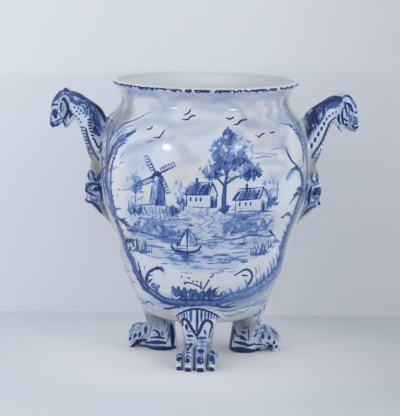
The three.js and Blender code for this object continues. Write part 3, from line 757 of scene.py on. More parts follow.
    # Long strands that run up to the shoulder
    draw.soak([(-126, 262), (-124, 285), (-118, 300), (-108, 312)], 20, 0.6)
    for foot, bow, tip, width, tone in (
        ((-130, 262), (-131, 290), (-126, 314), 2.6, 0.5),
        ((-126, 262), (-124, 292), (-115, 318), 2.2, 0.45),
        ((-124, 268), (-116, 292), (-100, 312), 2.2, 0.5), ((-122, 270), (-110, 294), (-92, 306), 2, 0.6),
        ((-128, 258), (-122, 286), (-110, 308), 2.4, 0.6),
        ((-132, 262), (-135, 286), (-131, 306), 2.4, 0.62),
        ((-126, 276), (-120, 300), (-106, 320), 1.8, 0.5),
        ((-136, 262), (-139, 276), (-138, 290), 2.4, 0.6), ((-120, 286), (-108, 302), (-94, 310), 1.8, 0.7),
        ((-114, 298), (-104, 312), (-88, 320), 1.6, 0.4),
    ):
        draw.mark([foot, bow, tip], width, tone, (0.9, 0.2))
    draw.feathers([(-124, 264), (-118, 286), (-106, 299), (-90, 310)], 22, 8, 2, (0.45, 0.8), 14, 10)
    draw.feathers([(-128, 262), (-126, 290), (-118, 312)], 18, 9, 2, (0.4, 0.75), -10, 12)
    draw.mark([(-128, 258), (-127, 275), (-127, 292), (-124, 306), (-118, 316)], 3.4, 0.8, (0.8, 0.2))
    draw.mark(
        [(-127, 262), (-123, 272), (-119, 284), (-113, 293), (-105, 299), (-97, 305), (-88, 311)], 3.2,
        0.66, (0.6, 0.3),
    )
    draw.bare([(-121, 274), (-116, 284), (-110, 291), (-104, 296)], 1.3, (0.4, 0.4))
    strokes(draw.mark, (
        ([(-135, 302), (-135.6, 284), (-134.6, 266), (-133, 250), (-131.6, 236)], 4, 0.5, (0.5, 0.6)),
        ([(-134, 292), (-136, 280), (-138, 270)], 3.4, 0.8, (0.4, 0.2)),
        ([(-131, 304), (-128, 316), (-121, 325)], 2.4, 0.5, (0.4, 0.1)),
        ([(-122, 296), (-118, 308), (-112, 318)], 2, 0.6, (0.4, 0.2)),
        ([(-117, 296), (-112, 304), (-104, 309)], 1.8, 0.5, (0.4, 0.2)),
        ([(-129, 258), (-134, 250), (-138, 243)], 3.6, 0.74, (0.9, 0.3)),
        ([(-132, 248), (-128, 238), (-127, 226)], 3, 0.8, (0.5, 0.3)),
    ))
    for tip in ((-109, 288), (-112, 281), (-99, 296)):
        draw.mark([(tip[0] - 8, tip[1] - 4), tip], 1.8, 0.55, (0.9, 0.2))
    for start, end in (((-121, 255), (-109, 263)), ((-110, 266), (-101, 270)), ((-109, 274), (-101, 283))):
        draw.mark([start, ((start[0] + end[0]) / 2, (start[1] + end[1]) / 2 + 1.5), end], 1.5, 0.5)
    strokes(draw.outline, (
        ([(-132.4, 300), (-132.6, 284), (-131.4, 266), (-130, 250)], 2, (0.4, 0.4)),
        ([(-128, 308), (-125, 300), (-124, 290)], 1.8, (0.4, 0.4)),
        ([(-124, 268), (-120, 280), (-114, 290), (-106, 297)], 1.8, (0.3, 0.3)),
        ([(-102, 302), (-97, 306), (-89, 311)], 2.2, (0.3, 0.8)),
        ([(-119, 300), (-112, 310), (-105, 317), (-97, 321), (-88, 325), (-79, 330), (-70, 335)], 2.2,
         (0.5, 0.3)),
    ))
    # Leaves that hang into the picture
    for tip in ((-92, 180), (-88, 175), (-96, 186), (-98, 178)):
        draw.mark([(-113, 193), (-104, 190), tip], 3.6, 0.86, (0.9, 0.25))
    for tip, width in (((-97, 190), 4), ((-100, 185), 4), ((-106, 183), 3.4), ((-99, 196), 3.4)):
        draw.mark([(-114, 192), (-107, 192), tip], width, 0.74, (0.6, 0.2))
    draw.mark([(-116, 194), (-108, 193)], 7, 0.6)
    for step in range(6):
        draw.dot((-99 + 2.2 * step, 188 - 1.2 * step), 2.6, 0.72)
    draw.mark([(-117, 200), (-114, 205), (-107, 208)], 3.4, 0.62, (0.8, 0.4))
    draw.mark([(-119, 196), (-117, 203)], 4, 0.8)
    for tip in ((-101, 171), (-88, 167), (-91, 162), (-96, 158)):
        draw.mark([(-101, 161), (-98, 164), tip], 4.6, 0.88, (0.8, 0.25))
    strokes(draw.mark, (
        ([(-112, 230), (-109, 234), (-106, 229)], 1.6, 0.5), ([(-112, 222), (-112, 228)], 2, 0.5),
        ([(-100, 141), (-97, 138), (-93, 133)], 4.4, 0.56),
        ([(-92, 150), (-90, 153), (-84, 152), (-78, 148)], 1.6, 0.5),
    ))
    draw.outline([(-112, 192), (-103, 187), (-96, 180)], 2.2, (0.8, 0.3))
    # Scroll and its fronds
    draw.mark(
        [(-72, 100), (-74, 109), (-73, 118), (-69, 126), (-63, 131), (-57, 134), (-50, 133)], 3.8, 0.82,
        (1, 0.4),
    )
    for tip, width in (
        ((-48, 131), 2), ((-48, 128), 1.8), ((-52, 137), 2.2), ((-60, 137), 2.4), ((-49, 124), 1.8),
    ):
        draw.mark([(-68, 126), (-62, 131), (-56, 132), tip], width + 0.8, 0.8, (0.8, 0.2))
    draw.mark([(-72, 120), (-68, 121), (-64, 122)], 2.2, 0.7, (0.8, 0.3))
    draw.mark([(-72, 110), (-71, 117), (-70, 122)], 2, 0.8)
    for spot, width in (((-65, 106), 6), ((-60, 103), 7), ((-57, 107), 5), ((-62, 109), 4)):
        draw.dot(spot, width, 0.6)
    strokes(draw.mark, (
        ([(-80, 110), (-81, 121), (-83, 130), (-84, 136)], 5, 0.84, (0.8, 0.4)),
        ([(-77, 106), (-79, 116), (-80, 123)], 3, 0.7, (0.9, 0.3)),
        ([(-74, 124), (-76, 130), (-74, 135)], 1.6, 0.45), ([(-78, 150), (-60, 147), (-40, 148)], 3, 0.26),
    ))
    draw.outline([(-71, 110), (-68, 113), (-65, 117)], 3, (0.8, 0.3))
    draw.outline([(-67, 107), (-64, 110), (-61, 109)], 1.8)


def paint_right_frame(draw):
    draw.soak(RIGHT_TRUNK, 19, 0.6)
    draw.soak([(136, 258), (134, 238), (130, 222)], 14, 0.55)
    draw.dull(shifted(RIGHT_TRUNK[3:12], 5, -2), 10, 0.75)
    draw.mark(RIGHT_TRUNK, 8, 0.4, (0.6, 1.3))
    strokes(draw.feathers, (
        (RIGHT_TRUNK[1:10], 30, 11, 2.2, (0.4, 0.8), 170, 9),
        (RIGHT_TRUNK[1:10], 22, 9, 2.2, (0.4, 0.8), -168, 9),
        (RIGHT_TRUNK[6:14], 24, 9, 2.6, (0.5, 0.85), -150, 12),
        (RIGHT_TRUNK[9:], 30, 10, 2.4, (0.3, 0.72), -172, 8),
        (shifted(RIGHT_TRUNK[9:], 3, -5), 26, 11, 2.2, (0.28, 0.6), 172, 8),
        (shifted(RIGHT_TRUNK[11:], 0, 3), 22, 8, 2.4, (0.4, 0.8), -140, 16),
    ))
    draw.mark(shifted(RIGHT_TRUNK[4:12], 2.6, 0), 3.6, 0.72, (0.3, 0.6))
    outer_band = [
        (104, 344), (110, 332), (119, 320), (126, 306), (131, 290), (134, 272), (135, 254), (134, 238),
        (129, 222), (123, 206), (117, 192),
    ]
    draw.dull(outer_band, 13, 1.0)
    draw.soak(outer_band, 12, 0.5)
    for across, width in ((-5.4, 1.6), (-1, 1.4), (4.4, 1.8)):
        draw.outline(shifted(outer_band[2:], across, 0), width, (0.3, 0.4))
    strokes(draw.mark, (
        (outer_band, 5, 0.36, (0.6, 0.8)), (shifted(outer_band, -4, -1), 2.4, 0.62, (0.4, 0.4)),
        (shifted(outer_band[3:], 2.4, 0), 2.4, 0.66, (0.4, 0.4)),
        (shifted(outer_band[:6], 4, 2), 2, 0.5, (0.4, 0.4)),
        ([(127, 252), (130, 242), (129, 231)], 4.4, 0.84, (0.5, 0.3)),
        ([(120, 266), (125, 254), (127, 240), (124.6, 226), (119, 210), (114, 196)], 4.6, 0.68, (0.5, 0.4)),
    ))
    for points in (
        [(110, 216), (116, 223), (122, 228)], [(115, 227), (120, 230)],
        [(119, 233), (123, 236), (127, 233)],
    ):
        draw.mark(points, 2.8, 0.8, (0.3, 0.9))
    strokes(draw.outline, (
        ([(101, 150), (99.5, 140), (98, 131)], 3.4, (0.3, 0.3)),
        (shifted(outer_band[1:7], -1, 1), 1.7, (0.3, 0.3)),
        ([(100, 340), (103, 334), (108, 328)], 2, (0.4, 0.3)),
        ([(126.6, 246), (127, 236), (124, 222), (118.4, 206)], 2.6, (0.4, 0.3)),
    ))
    # Top: hooked branch with a broad pale leaf
    draw.soak([(108, 252), (113, 257), (118, 261)], 9, 0.6)
    draw.soak([(134, 250), (132, 285), (122, 310)], 18, 0.6)
    strokes(draw.mark, (
        ([(104, 292), (108, 282), (113, 273), (120, 265)], 3.6, 0.84, (0.4, 0.5)),
        ([(111, 261), (117, 263), (123, 260), (128, 252)], 5, 0.76, (0.4, 0.7)),
        ([(107, 251), (109, 256), (115, 260)], 6, 0.36, (0.8, 0.5)),
        ([(125, 274), (124, 266), (126, 258)], 2.4, 0.5),
    ))
    for start, end in (
        ((137, 262), (121, 319)), ((134, 262), (128, 302)), ((132, 240), (133, 275)),
        ((128, 262), (119, 305)),
    ):
        middle = ((start[0] + end[0]) / 2 + 4, (start[1] + end[1]) / 2)
        draw.mark([start, middle, end], 2.4, 0.6, (0.8, 0.2))
    draw.feathers([(129, 262), (131, 284), (122, 310)], 18, 9, 2, (0.35, 0.7), 12, 10)
    draw.feathers([(134, 254), (135, 278), (128, 306)], 16, 10, 2, (0.35, 0.7), -10, 10)
    for x, z in ((120, 306), (124, 303), (128, 300), (117, 311), (112, 316)):
        draw.mark([(x - 3, z + 2), (x + 2, z - 1)], 3, 0.7)
    strokes(draw.mark, (
        ([(96, 322), (103, 320.5), (112, 318), (120, 313)], 1.6, 0.72),
        ([(103, 339), (106, 334)], 2.2, 0.5), ([(98, 339), (99, 335)], 2, 0.4),
    ))
    draw.outline([(109, 280), (114, 272), (118, 267)], 2, (0.2, 0.3))
    # Leaves into the picture
    strokes(draw.mark, (
        ([(121, 230), (125, 234), (127, 227)], 5, 0.82),
        ([(103, 201), (108, 204), (113, 200), (113, 193)], 5, 0.6),
        ([(86, 183), (90, 178), (95, 171)], 2, 0.74, (1.6, 0.5)),
        ([(91, 168), (95, 167), (99, 165)], 6, 0.48), ([(82, 155), (86, 161), (90, 165)], 1.9, 0.7),
        ([(90, 158), (94, 162)], 2.4, 0.74), ([(105, 180), (106, 175)], 3, 0.5),
    ))
    draw.outline([(114, 221), (118, 226), (123, 228), (127, 225)], 3.2, (0.3, 1))
    draw.outline([(99, 201), (104, 199.5)], 2, (0.4, 0.8))
    # Feathery mass that sweeps to the bottom
    draw.soak([(98, 126), (80, 108), (60, 99), (34, 93), (10, 90)], 30, 0.8)
    draw.dull([(98, 116), (82, 100), (62, 92), (40, 87)], 18, 0.5)
    for lift in (0, -5, -10):
        draw.mark(shifted([(101, 108), (88, 95), (70, 87), (48, 82)], 0, lift), 2.2, 0.3, (0.3, 0.4))
    draw.mark([(94, 124), (76, 109), (58, 101), (38, 96), (16, 92)], 12, 0.24, (0.5, 1))
    draw.feathers([(100, 122), (82, 102), (62, 93), (36, 88)], 26, 10, 2.2, (0.24, 0.5), 176, 8)
    spikes = (
        ((97, 132), (95, 151)), ((93, 128), (90, 147)), ((90, 124), (86, 141)), ((85, 120), (83, 134)),
        ((80, 115), (79, 127)), ((74, 112), (76, 124)), ((70, 110), (70, 121)), ((58, 108), (54, 120)),
        ((46, 104), (47, 110)), ((37, 101), (34, 109)), ((30, 98), (28, 104)),
    )
    for foot, tip in spikes:
        draw.mark([foot, ((foot[0] + tip[0]) / 2 + 1, (foot[1] + tip[1]) / 2), tip], 3.2, 0.44, (1, 0.2))
        draw.mark([(foot[0] + 4, foot[1] - 4), foot], 3, 0.56, (0.6, 0.8))
    for x in range(30, 92, 6):
        z = np.interp(x, [30, 60, 92], [97, 103, 120])
        draw.mark([(x + 7, z - 3), (x, z - 9), (x - 8, z - 12)], 2.6, 0.5, (0.8, 0.2))
        draw.mark([(x + 4, z + 4), (x - 2, z), (x - 7, z - 1)], 2.2, 0.54, (0.5, 0.3))
    draw.outline([(36, 99), (30, 96), (22, 92), (6, 91)], 2.4, (0.3, 0.4))
    # Scroll
    strokes(draw.mark, (
        ([(60, 112), (64, 120), (63, 128), (57, 133), (51, 131.5)], 3.4, 0.78, (1.2, 0.8)),
        ([(68, 135), (69.5, 128), (68, 120)], 1.7, 0.72), ([(71, 139), (74, 130), (73, 122)], 1.5, 0.45),
    ))
    draw.outline([(56, 133), (50, 131), (45, 128), (41, 126)], 2.2, (0.7, 0.8))
    draw.outline([(51, 125), (58, 124)], 2.2, (0.8, 0.8))
    # Loose loops below the band
    for points, tone in (
        ([(100, 118), (100, 106), (96, 97)], 0.42), ([(92, 106), (84, 100), (74, 96)], 0.4),
        ([(88, 90), (76, 82), (60, 78), (44, 76)], 0.42), ([(90, 88), (82, 80), (72, 78)], 0.5),
        ([(46, 76), (34, 74), (20, 77)], 0.6), ([(62, 74), (52, 69), (44, 72)], 0.4),
        ([(44, 88), (30, 82), (10, 83)], 0.66), ([(44, 81), (34, 80), (24, 80)], 0.84),
        ([(46, 68), (36, 67), (27, 70)], 0.42), ([(58, 92), (52, 93), (46, 96)], 0.6),
    ):
        draw.mark(points, 2.6, tone, (0.4, 0.5))


def paint_bottom_leaves(draw):
    draw.soak([(-64, 88), (-20, 88), (10, 88), (60, 90)], 18, 0.7)
    draw.soak([(-60, 80), (-20, 78), (20, 78), (60, 82)], 8, 0.4)
    for start, end in (
        ([(-60, 92), (-40, 86), (0, 85)], [(-40, 88), (0, 88), (44, 90)]),
        ([(60, 100), (40, 92), (0, 88)], [(36, 94), (8, 88), (-34, 86)]),
    ):
        draw.hatch(start, end, 14, 2.2, (0.3, 0.7), 0.05)
    draw.dabs((-18, 98), (24, 6), 34, 6, 2.6, (0.34, 0.72), 80, 0.7)
    draw.dabs((14, 99), (10, 5), 18, 7, 2.6, (0.5, 0.85), 56, 0.5)
    for z, width, tone in ((91, 3, 0.76), (87.5, 3.4, 0.5), (84, 3, 0.66)):
        draw.mark([(-40, z - 1), (-20, z), (0, z + 0.5), (24, z)], width, tone, (0.4, 0.6))
    for spot, tip, width in (
        ((-28, 95), (-38, 107), 9), ((-27, 95), (-31, 108), 7), ((-21, 94), (-23, 107), 8),
        ((-14, 95), (-14, 104), 10), ((-6, 95), (-9, 104), 9), ((1, 95), (1, 103), 9),
        ((9, 95), (8, 104), 6),
    ):
        draw.mark([spot, ((spot[0] + tip[0]) / 2 - 1, (spot[1] + tip[1]) / 2), tip], width, 0.7, (0.6, 0.6))
        draw.outline([(spot[0] + 1, spot[1]), (tip[0] + 1.5, tip[1] - 2)], 1.6, (0.9, 0.3))
    draw.outline([(-36, 100), (-34, 95), (-26, 91), (-18, 90)], 2.4)
    draw.outline([(-22, 92), (-21, 87), (-17, 84)], 2.4)
    draw.bare([(-33, 93), (-29, 95)], 2)
    draw.bare([(-19, 97), (-18, 101)], 1.4)
    for base, tip in (
        ((6, 98), (10, 110)), ((8, 99), (17, 109)), ((10, 100), (22, 111)), ((6, 100), (20, 104)),
        ((4, 99), (12, 112)),
    ):
        draw.mark([base, ((base[0] + tip[0]) / 2, (base[1] + tip[1]) / 2 + 1), tip], 3, 0.78, (1.2, 0.2))
    for points in (
        [(-24, 116), (-19, 116), (-13, 115)], [(-14, 115), (-8, 113), (0, 109)], [(-20, 123), (-16, 122)],
        [(1, 106), (5, 114), (8, 120)], [(9, 124), (12, 125), (14, 128)], [(-2, 107), (-2, 118)],
    ):
        draw.outline(points, 2, (0.6, 0.8))
    for spot in ((-12, 118), (-7, 118), (-23, 114), (-27, 124), (8, 120)):
        draw.dot(spot, 2.6)
    draw.mark([(-26, 80), (-12, 84), (0, 84)], 2.2, 0.7)
    draw.outline([(-50, 75), (-44, 75.5), (-38, 78), (-28, 80)], 3.2, (0.8, 0.6))


def paint_side_sprigs(draw):
    draw.soak([(-110, 150), (-106, 128), (-98, 106)], 12, 0.3)
    draw.soak([(106, 140), (102, 118), (92, 96)], 13, 0.45)
    draw.dull([(-106, 146), (-98, 112), (-84, 84), (-64, 70), (-44, 68)], 18, 0.3)
    draw.dull([(92, 92), (80, 74), (60, 66), (36, 66)], 12, 0.26)
    draw.rust([(-38, 66), (-44, 63), (-50, 62)], 5, 0.46)
    draw.rust([(-62, 76), (-54, 69), (-46, 65)], 4, 0.36)
    strokes(draw.dabs, (
        ((-103, 126), (4, 22), 18, 7, 2, (0.2, 0.42), 100, 0.5),
        ((100, 112), (5, 20), 20, 7, 2, (0.22, 0.45), 75, 0.5),
        ((78, 80), (18, 6), 16, 8, 2.2, (0.24, 0.5), 24, 0.4),
        ((-74, 76), (12, 6), 14, 6, 2.2, (0.3, 0.6), 160, 0.6),
    ))
    strokes(draw.mark, (
        ([(-105, 150), (-109, 140), (-107, 126), (-101, 112)], 3, 0.34),
        ([(-109, 132), (-103, 122)], 2, 0.3), ([(-98, 118), (-100, 110), (-96, 104)], 3, 0.4),
        ([(-96, 108), (-91, 104), (-88, 106)], 2.4, 0.5), ([(-93, 102), (-95, 97)], 2.4, 0.34),
        ([(-79, 83), (-78, 76), (-80, 70)], 3, 0.5), ([(-76, 76), (-70, 80), (-63, 79)], 2.2, 0.7),
        ([(-70, 80), (-69, 83)], 2, 0.7), ([(-77, 66), (-71, 69), (-67, 67)], 2.4, 0.44),
        ([(-88, 72), (-84, 66)], 2, 0.3), ([(104, 132), (103, 120), (98, 106)], 2.6, 0.34),
        ([(96, 92), (90, 82), (82, 74)], 4, 0.3),
    ))


BIRDS = [
    ((-27, 334), (-21, 337), (-19, 341)), ((-29, 329), (-22, 329), (-18, 333), (-13, 334)),
    ((26, 332), (31, 330), (36, 332)), ((36, 324), (41, 324), (46, 328), (53, 329)),
    ((-66, 306), (-58, 306), (-55, 310), (-51, 315)), ((64, 311), (69, 308), (72, 311), (76, 312)),
    ((-74, 315), (-69, 316), (-67, 319)), ((82, 313), (86, 312), (89, 313)),
]


CLOUD_DEPTH = 1.24


def paint_sky(draw):
    for points, width, strength in (
        ([(-120, 352), (-80, 360), (0, 361), (80, 360), (120, 352)], 9, 0.5),
        ([(-110, 326), (-104, 340), (-98, 352), (-86, 358)], 12, 0.6),
        ([(-101, 322), (-98, 338), (-94, 350)], 7, 0.5),
        ([(-88, 356), (-70, 358), (-58, 352), (-51, 341)], 8, 0.55),
        ([(-66, 340), (-52, 336), (-40, 346)], 13, 0.4),
        ([(-46, 352), (-25, 356), (0, 353), (24, 352), (44, 342), (52, 328)], 9, 0.6),
        ([(10, 353), (32, 357), (56, 351), (74, 355), (94, 350)], 8, 0.6),
        ([(-14, 346), (10, 342), (34, 340)], 9, 0.4), ([(78, 348), (84, 340), (81, 331)], 9, 0.7),
        ([(94, 346), (98, 333), (94, 320)], 11, 0.7), ([(104, 322), (108, 334), (106, 350)], 14, 0.6),
        ([(54, 344), (70, 338), (62, 328)], 10, 0.4),
        ([(-84, 322), (-60, 325), (-36, 321), (-10, 326)], 8, 0.34),
        ([(52, 322), (70, 320), (92, 316)], 12, 0.6),
        ([(28, 308), (42, 315), (50, 308), (54, 294)], 9, 0.55),
        ([(62, 288), (74, 287), (92, 284)], 3, 0.8),
        ([(-98, 288), (-76, 297), (-56, 303), (-40, 305)], 10, 0.5),
        ([(-106, 278), (-90, 286), (-70, 290)], 10, 0.36), ([(104, 310), (100, 296), (108, 284)], 12, 0.55),
        ([(-30, 298), (-24, 288), (-18, 280)], 13, 0.4), ([(60, 296), (84, 298), (104, 292)], 10, 0.45),
        ([(62, 274), (84, 276), (104, 270)], 7, 0.4), ([(-96, 268), (-84, 274), (-74, 270)], 14, 0.34),
        ([(-44, 318), (-20, 312), (10, 318)], 12, 0.3), ([(-100, 312), (-90, 318), (-76, 316)], 9, 0.4),
        ([(70, 306), (86, 308), (98, 304)], 9, 0.42), ([(-36, 270), (-24, 276), (-10, 282)], 10, 0.3),
        ([(86, 254), (98, 258), (108, 262)], 9, 0.3), ([(-132, 300), (-120, 316), (-108, 326)], 16, 0.4),
        ([(128, 296), (118, 314), (108, 326)], 16, 0.55),
    ):
        draw.soak(points, width, CLOUD_DEPTH * strength, 0.8)
    for bird in BIRDS:
        draw.outline(bird, 1.9, (0.5, 0.9))
    strokes(draw.mark, (
        ([(-74, 298), (-69, 301), (-62, 303)], 2.6, 0.34), ([(84, 290), (94, 292), (104, 289)], 2.2, 0.3),
        ([(62, 281), (76, 283), (92, 280)], 2.2, 0.34),
    ))


# The rim's border: dashes in degrees of the lip, their foot, the shares of arcs and of dashes (the rest
# are dots), how often a fine line tops them, and the larger dots, by x
DASH_RUNS, DASH_FEET, DASH_STEPS = (1.8, 4.4), (363.4, 365), (0.7, 1.05)
ARC_SHARE, DASH_SHARE, TOPPED_SHARE = 0.4, 0.34, 0.6
LARGE_DOTS, LARGE_DOT_HEIGHT, LARGE_DOT_WIDTH = (-80, -21, 18, 64), 365.4, 5


def rim_border(painting, chance):
    """Dashes, dots and little arcs of dark blue on the outside of the lip."""
    at = 0.0
    while at < 360:
        run = chance.uniform(*DASH_RUNS)
        start, end = math.radians(at), math.radians(at + run)
        kind = chance.random()
        low = chance.uniform(*DASH_FEET)
        if kind < ARC_SHARE:
            arc = [(start, low + 2.8), ((start + end) / 2, low), (end, low + 3)]
            painting.outline(arc, chance.uniform(1.6, 2.4))
        elif kind < ARC_SHARE + DASH_SHARE:
            dash = [(start, low + 2.4), (end, low + 2 + chance.uniform(-0.6, 0.8))]
            painting.outline(dash, chance.uniform(2, 3.2))
        else:
            painting.dot((start, low + 1.6), chance.uniform(2.6, 4.2))
        if chance.random() < TOPPED_SHARE:
            painting.outline([(start, 367.2), (end, 367)], 1.5, (0.8, 0.8))
        at += run * chance.uniform(*DASH_STEPS)
    for x in LARGE_DOTS:
        painting.dot((math.asin(x / LIP_CENTRE[0]), LARGE_DOT_HEIGHT), LARGE_DOT_WIDTH)


# Moulded pieces: limbs and balls of clay, joined into one skin, then worked with a modelling tool

CLAY_GRAIN = 0.85
SMOOTHING_ROUNDS = 3
# Vertices round a limb or a ball, rows of a ball, and millimetres between a limb's rings
RING = 28
BALL_ROWS = 16
RING_STEP = 2.0
# A limb's rounded end: the rings' shares of its length, which is this part of the half thickness
CAP_RINGS = (0.4, 0.7, 0.9, 0.99)
CAP_LENGTH = 0.7
# Where clay meets the body: how far it is pushed in, how wide its fillet is and how far that swells
SUNK = 2.0
FILLET = 3.0
SWELL = 1.4


def vertices_in(parts):
    return [part for part in parts if isinstance(part, bmesh.types.BMVert)]


def edges_in(parts):
    return [part for part in parts if isinstance(part, bmesh.types.BMEdge)]


def evaluated_mesh(piece):
    """The mesh of an object with its modifiers applied. The object itself is removed."""
    mesh = bpy.data.meshes.new_from_object(piece.evaluated_get(bpy.context.evaluated_depsgraph_get()))
    bpy.data.objects.remove(piece, do_unlink=True)
    bm = bmesh.new()
    bm.from_mesh(mesh)
    bpy.data.meshes.remove(mesh)
    return bm


def ring_frames(stations):
    """A matrix for each ring of a limb. Stations are [x, z, half thickness, half width in y]."""
    rows = smooth_line(stations, RING_STEP)
    run = np.gradient(rows[:, :2], axis=0)
    run /= np.linalg.norm(run, axis=1)[:, None]
    ends = []
    for row, turn, way in ((rows[0], run[0], -1), (rows[-1], run[-1], 1)):
        cap = []
        for share in CAP_RINGS:
            slim = math.sqrt(1 - share * share)
            spot = row[:2] + way * share * row[2] * CAP_LENGTH * turn
            cap.append((np.array([*spot, row[2] * slim, row[3] * slim]), turn))
        ends.append(cap)
    whole = [*reversed(ends[0]), *zip(rows, run), *ends[1]]
    frames = []
    for (x, z, thick, wide), (turn_x, turn_z) in whole:
        frames.append(Matrix((
            (-turn_z * thick, 0, turn_x, x), (0, wide, 0, 0), (turn_x * thick, 0, turn_z, z), (0, 0, 0, 1),
        )))
    return frames


def add_limb(bm, stations, side=0.0):
    """A round-ended limb of clay, standing side millimetres off the middle plane."""
    frames = [Matrix.Translation((0, side, 0)) @ matrix for matrix in ring_frames(stations)]
    ring = bmesh.ops.create_circle(bm, cap_ends=True, segments=RING, radius=1, matrix=frames[0])["verts"]
    edges = list({edge for vert in ring for edge in vert.link_edges})
    for before, after in zip(frames, frames[1:]):
        grown = bmesh.ops.extrude_edge_only(bm, edges=edges)["geom"]
        ring = vertices_in(grown)
        bmesh.ops.transform(bm, matrix=after @ before.inverted(), verts=ring)
        edges = [edge for edge in edges_in(grown) if set(edge.verts) <= set(ring)]
    bmesh.ops.edgeloop_fill(bm, edges=edges)


def add_ball(bm, half, spot, lean=0.0):
    matrix = Matrix.Translation(spot) @ Matrix.Rotation(lean, 4, "Y") @ Matrix.Diagonal((*half, 1))
    bmesh.ops.create_uvsphere(bm, u_segments=RING, v_segments=BALL_ROWS, radius=1, matrix=matrix)


def one_skin(bm):
    """The outer skin of overlapping closed shapes, in even small faces."""
    bmesh.ops.recalc_face_normals(bm, faces=bm.faces)
    bmesh.ops.scale(bm, vec=(MM, MM, MM), verts=bm.verts)
    rough = make_object("clay", bm)
    remesh = rough.modifiers.new("skin", "REMESH")
    remesh.mode = "VOXEL"
    remesh.voxel_size = CLAY_GRAIN * MM
    bm = evaluated_mesh(rough)
    every_way = {"use_axis_x": True, "use_axis_y": True, "use_axis_z": True}
    for _ in range(SMOOTHING_ROUNDS):
        bmesh.ops.smooth_vert(bm, verts=bm.verts, factor=0.5, **every_way)
    return bm


class Clay:
    """A skin that can be grooved and raised along lines, in millimetres."""

    def __init__(self, bm):
        self.bm = bm
        bm.verts.ensure_lookup_table()
        self.spots = np.array([vert.co[:] for vert in bm.verts]) / MM
        self.refresh()

    def refresh(self):
        self.write()
        self.bm.normal_update()
        self.normals = np.array([vert.normal[:] for vert in self.bm.verts])

    def write(self):
        for vert, spot in zip(self.bm.verts, self.spots):
            vert.co = Vector(spot) * MM

    def work(self, across, up, points, width, amount, weight):
        """Move the skin along its normals: a positive amount raises a ridge, a negative cuts a groove."""
        near, share = Painting(across, up).cover(points, width, (0.8, 0.8), width / 2, width)
        lift = amount * share * share * (3 - 2 * share) * weight[near]
        self.spots[near] += lift[:, None] * self.normals[near]

    def on_sides(self, points, width, amount):
        weight = np.clip((np.abs(self.normals[:, 1]) - 0.15) / 0.35, 0, 1)
        self.work(self.spots[:, 0], self.spots[:, 2], points, width, amount, weight)

    def on_front(self, points, width, amount):
        weight = np.clip((self.normals[:, 0] - 0.05) / 0.3, 0, 1)
        self.work(self.spots[:, 1], self.spots[:, 2], points, width, amount, weight)

    def settle_on_body(self):
        """Spread the skin where it meets the body, and flatten what lies under the body's surface."""
        radius = np.hypot(self.spots[:, 0], self.spots[:, 1])
        height = np.maximum(self.spots[:, 2], BASE_HEIGHT + 1)
        gap = radius - body_radius(height)
        above = self.spots[:, 2] > BASE_HEIGHT
        share = np.where(above, np.clip(1 - np.abs(gap) / FILLET, 0, 1) ** 2, 0)
        self.spots += (SWELL * share)[:, None] * self.normals
        radius = np.hypot(self.spots[:, 0], self.spots[:, 1])
        floor_radius = body_radius(height) - SUNK
        low = above & (radius < floor_radius)
        self.spots[low, :2] *= (floor_radius / np.maximum(radius, 1))[low, None]

    def piece(self, name, cut=None, keep_above=True, turn=0.0):
        """An object of the whole skin, or of its part above or below a level cut."""
        self.write()
        bm = self.bm.copy()
        if cut is not None:
            kept = bmesh.ops.bisect_plane(
                bm, geom=[*bm.verts, *bm.edges, *bm.faces], plane_co=(0, 0, cut * MM), plane_no=(0, 0, 1),
                clear_outer=not keep_above, clear_inner=keep_above,
            )["geom_cut"]
            bmesh.ops.holes_fill(bm, edges=edges_in(kept))
        bmesh.ops.rotate(bm, cent=(0, 0, 0), matrix=Matrix.Rotation(turn, 3, "Z"), verts=bm.verts)
        return make_object(name, bm)


def beside(stations, set_out):
    """Stations on a handle from [stand-off from the body, height, half thickness, half width]."""
    return [
        (float(body_radius(min(height, SHOULDER_HEIGHT))) + gap + set_out, height, thick, wide)
        for gap, height, thick, wide in stations
    ]


NECK_LIMB = [
    (-2, 243, 13.5, 22), (-2, 259, 13.3, 20), (1.6, 273, 15.5, 17), (6.5, 289, 16.5, 15),
    (15.5, 305, 15.2, 13.5), (26.5, 320, 15.5, 13), (38.5, 332, 14.5, 12.5), (49, 338, 10, 11),
]
MANE_LIMB = [
    (2, 309, 8, 11.5), (11.6, 323, 8, 10.5), (21.3, 330.6, 8, 10), (31, 336.8, 8, 10), (38, 341.5, 8, 10),
    (45.5, 345, 7, 9), (51, 347, 6, 7),
]
HEAD_LIMB = [
    (51.5, 351, 5, 5), (52.5, 347.5, 11.5, 9.5), (55.2, 335, 16.2, 13.5), (60, 323, 14.3, 12.5),
    (63.8, 314, 10, 9.5), (66.3, 307.7, 7, 7.5), (66.8, 305.5, 4, 5),
]
BEARD_LIMB = [(47, 327, 8, 10), (48.5, 315, 7, 8), (49.3, 307, 4.3, 5.5), (49.5, 304, 2.5, 3)]
CREST_LIMB = [(48, 347, 5, 5), (52.5, 351.5, 4.8, 4.5), (54.5, 353.6, 2.8, 3)]
MASK_LIMB = [
    (-3, 257, 14.5, 20), (-2, 247, 16.5, 22.5), (-1, 237, 18.6, 25), (0, 226, 21, 26.5), (0, 217, 20, 26),
    (-1, 209, 18.5, 23), (-3, 201, 15, 18), (-6, 193, 12.5, 14.5), (-10, 185, 11, 11), (-13, 180, 8, 8),
]
# The griffin is cut from its mask at this height
GRIFFIN_FOOT = 250.15
HANDLE_SET_OUT = {"left": 0.8, "right": -1.8}


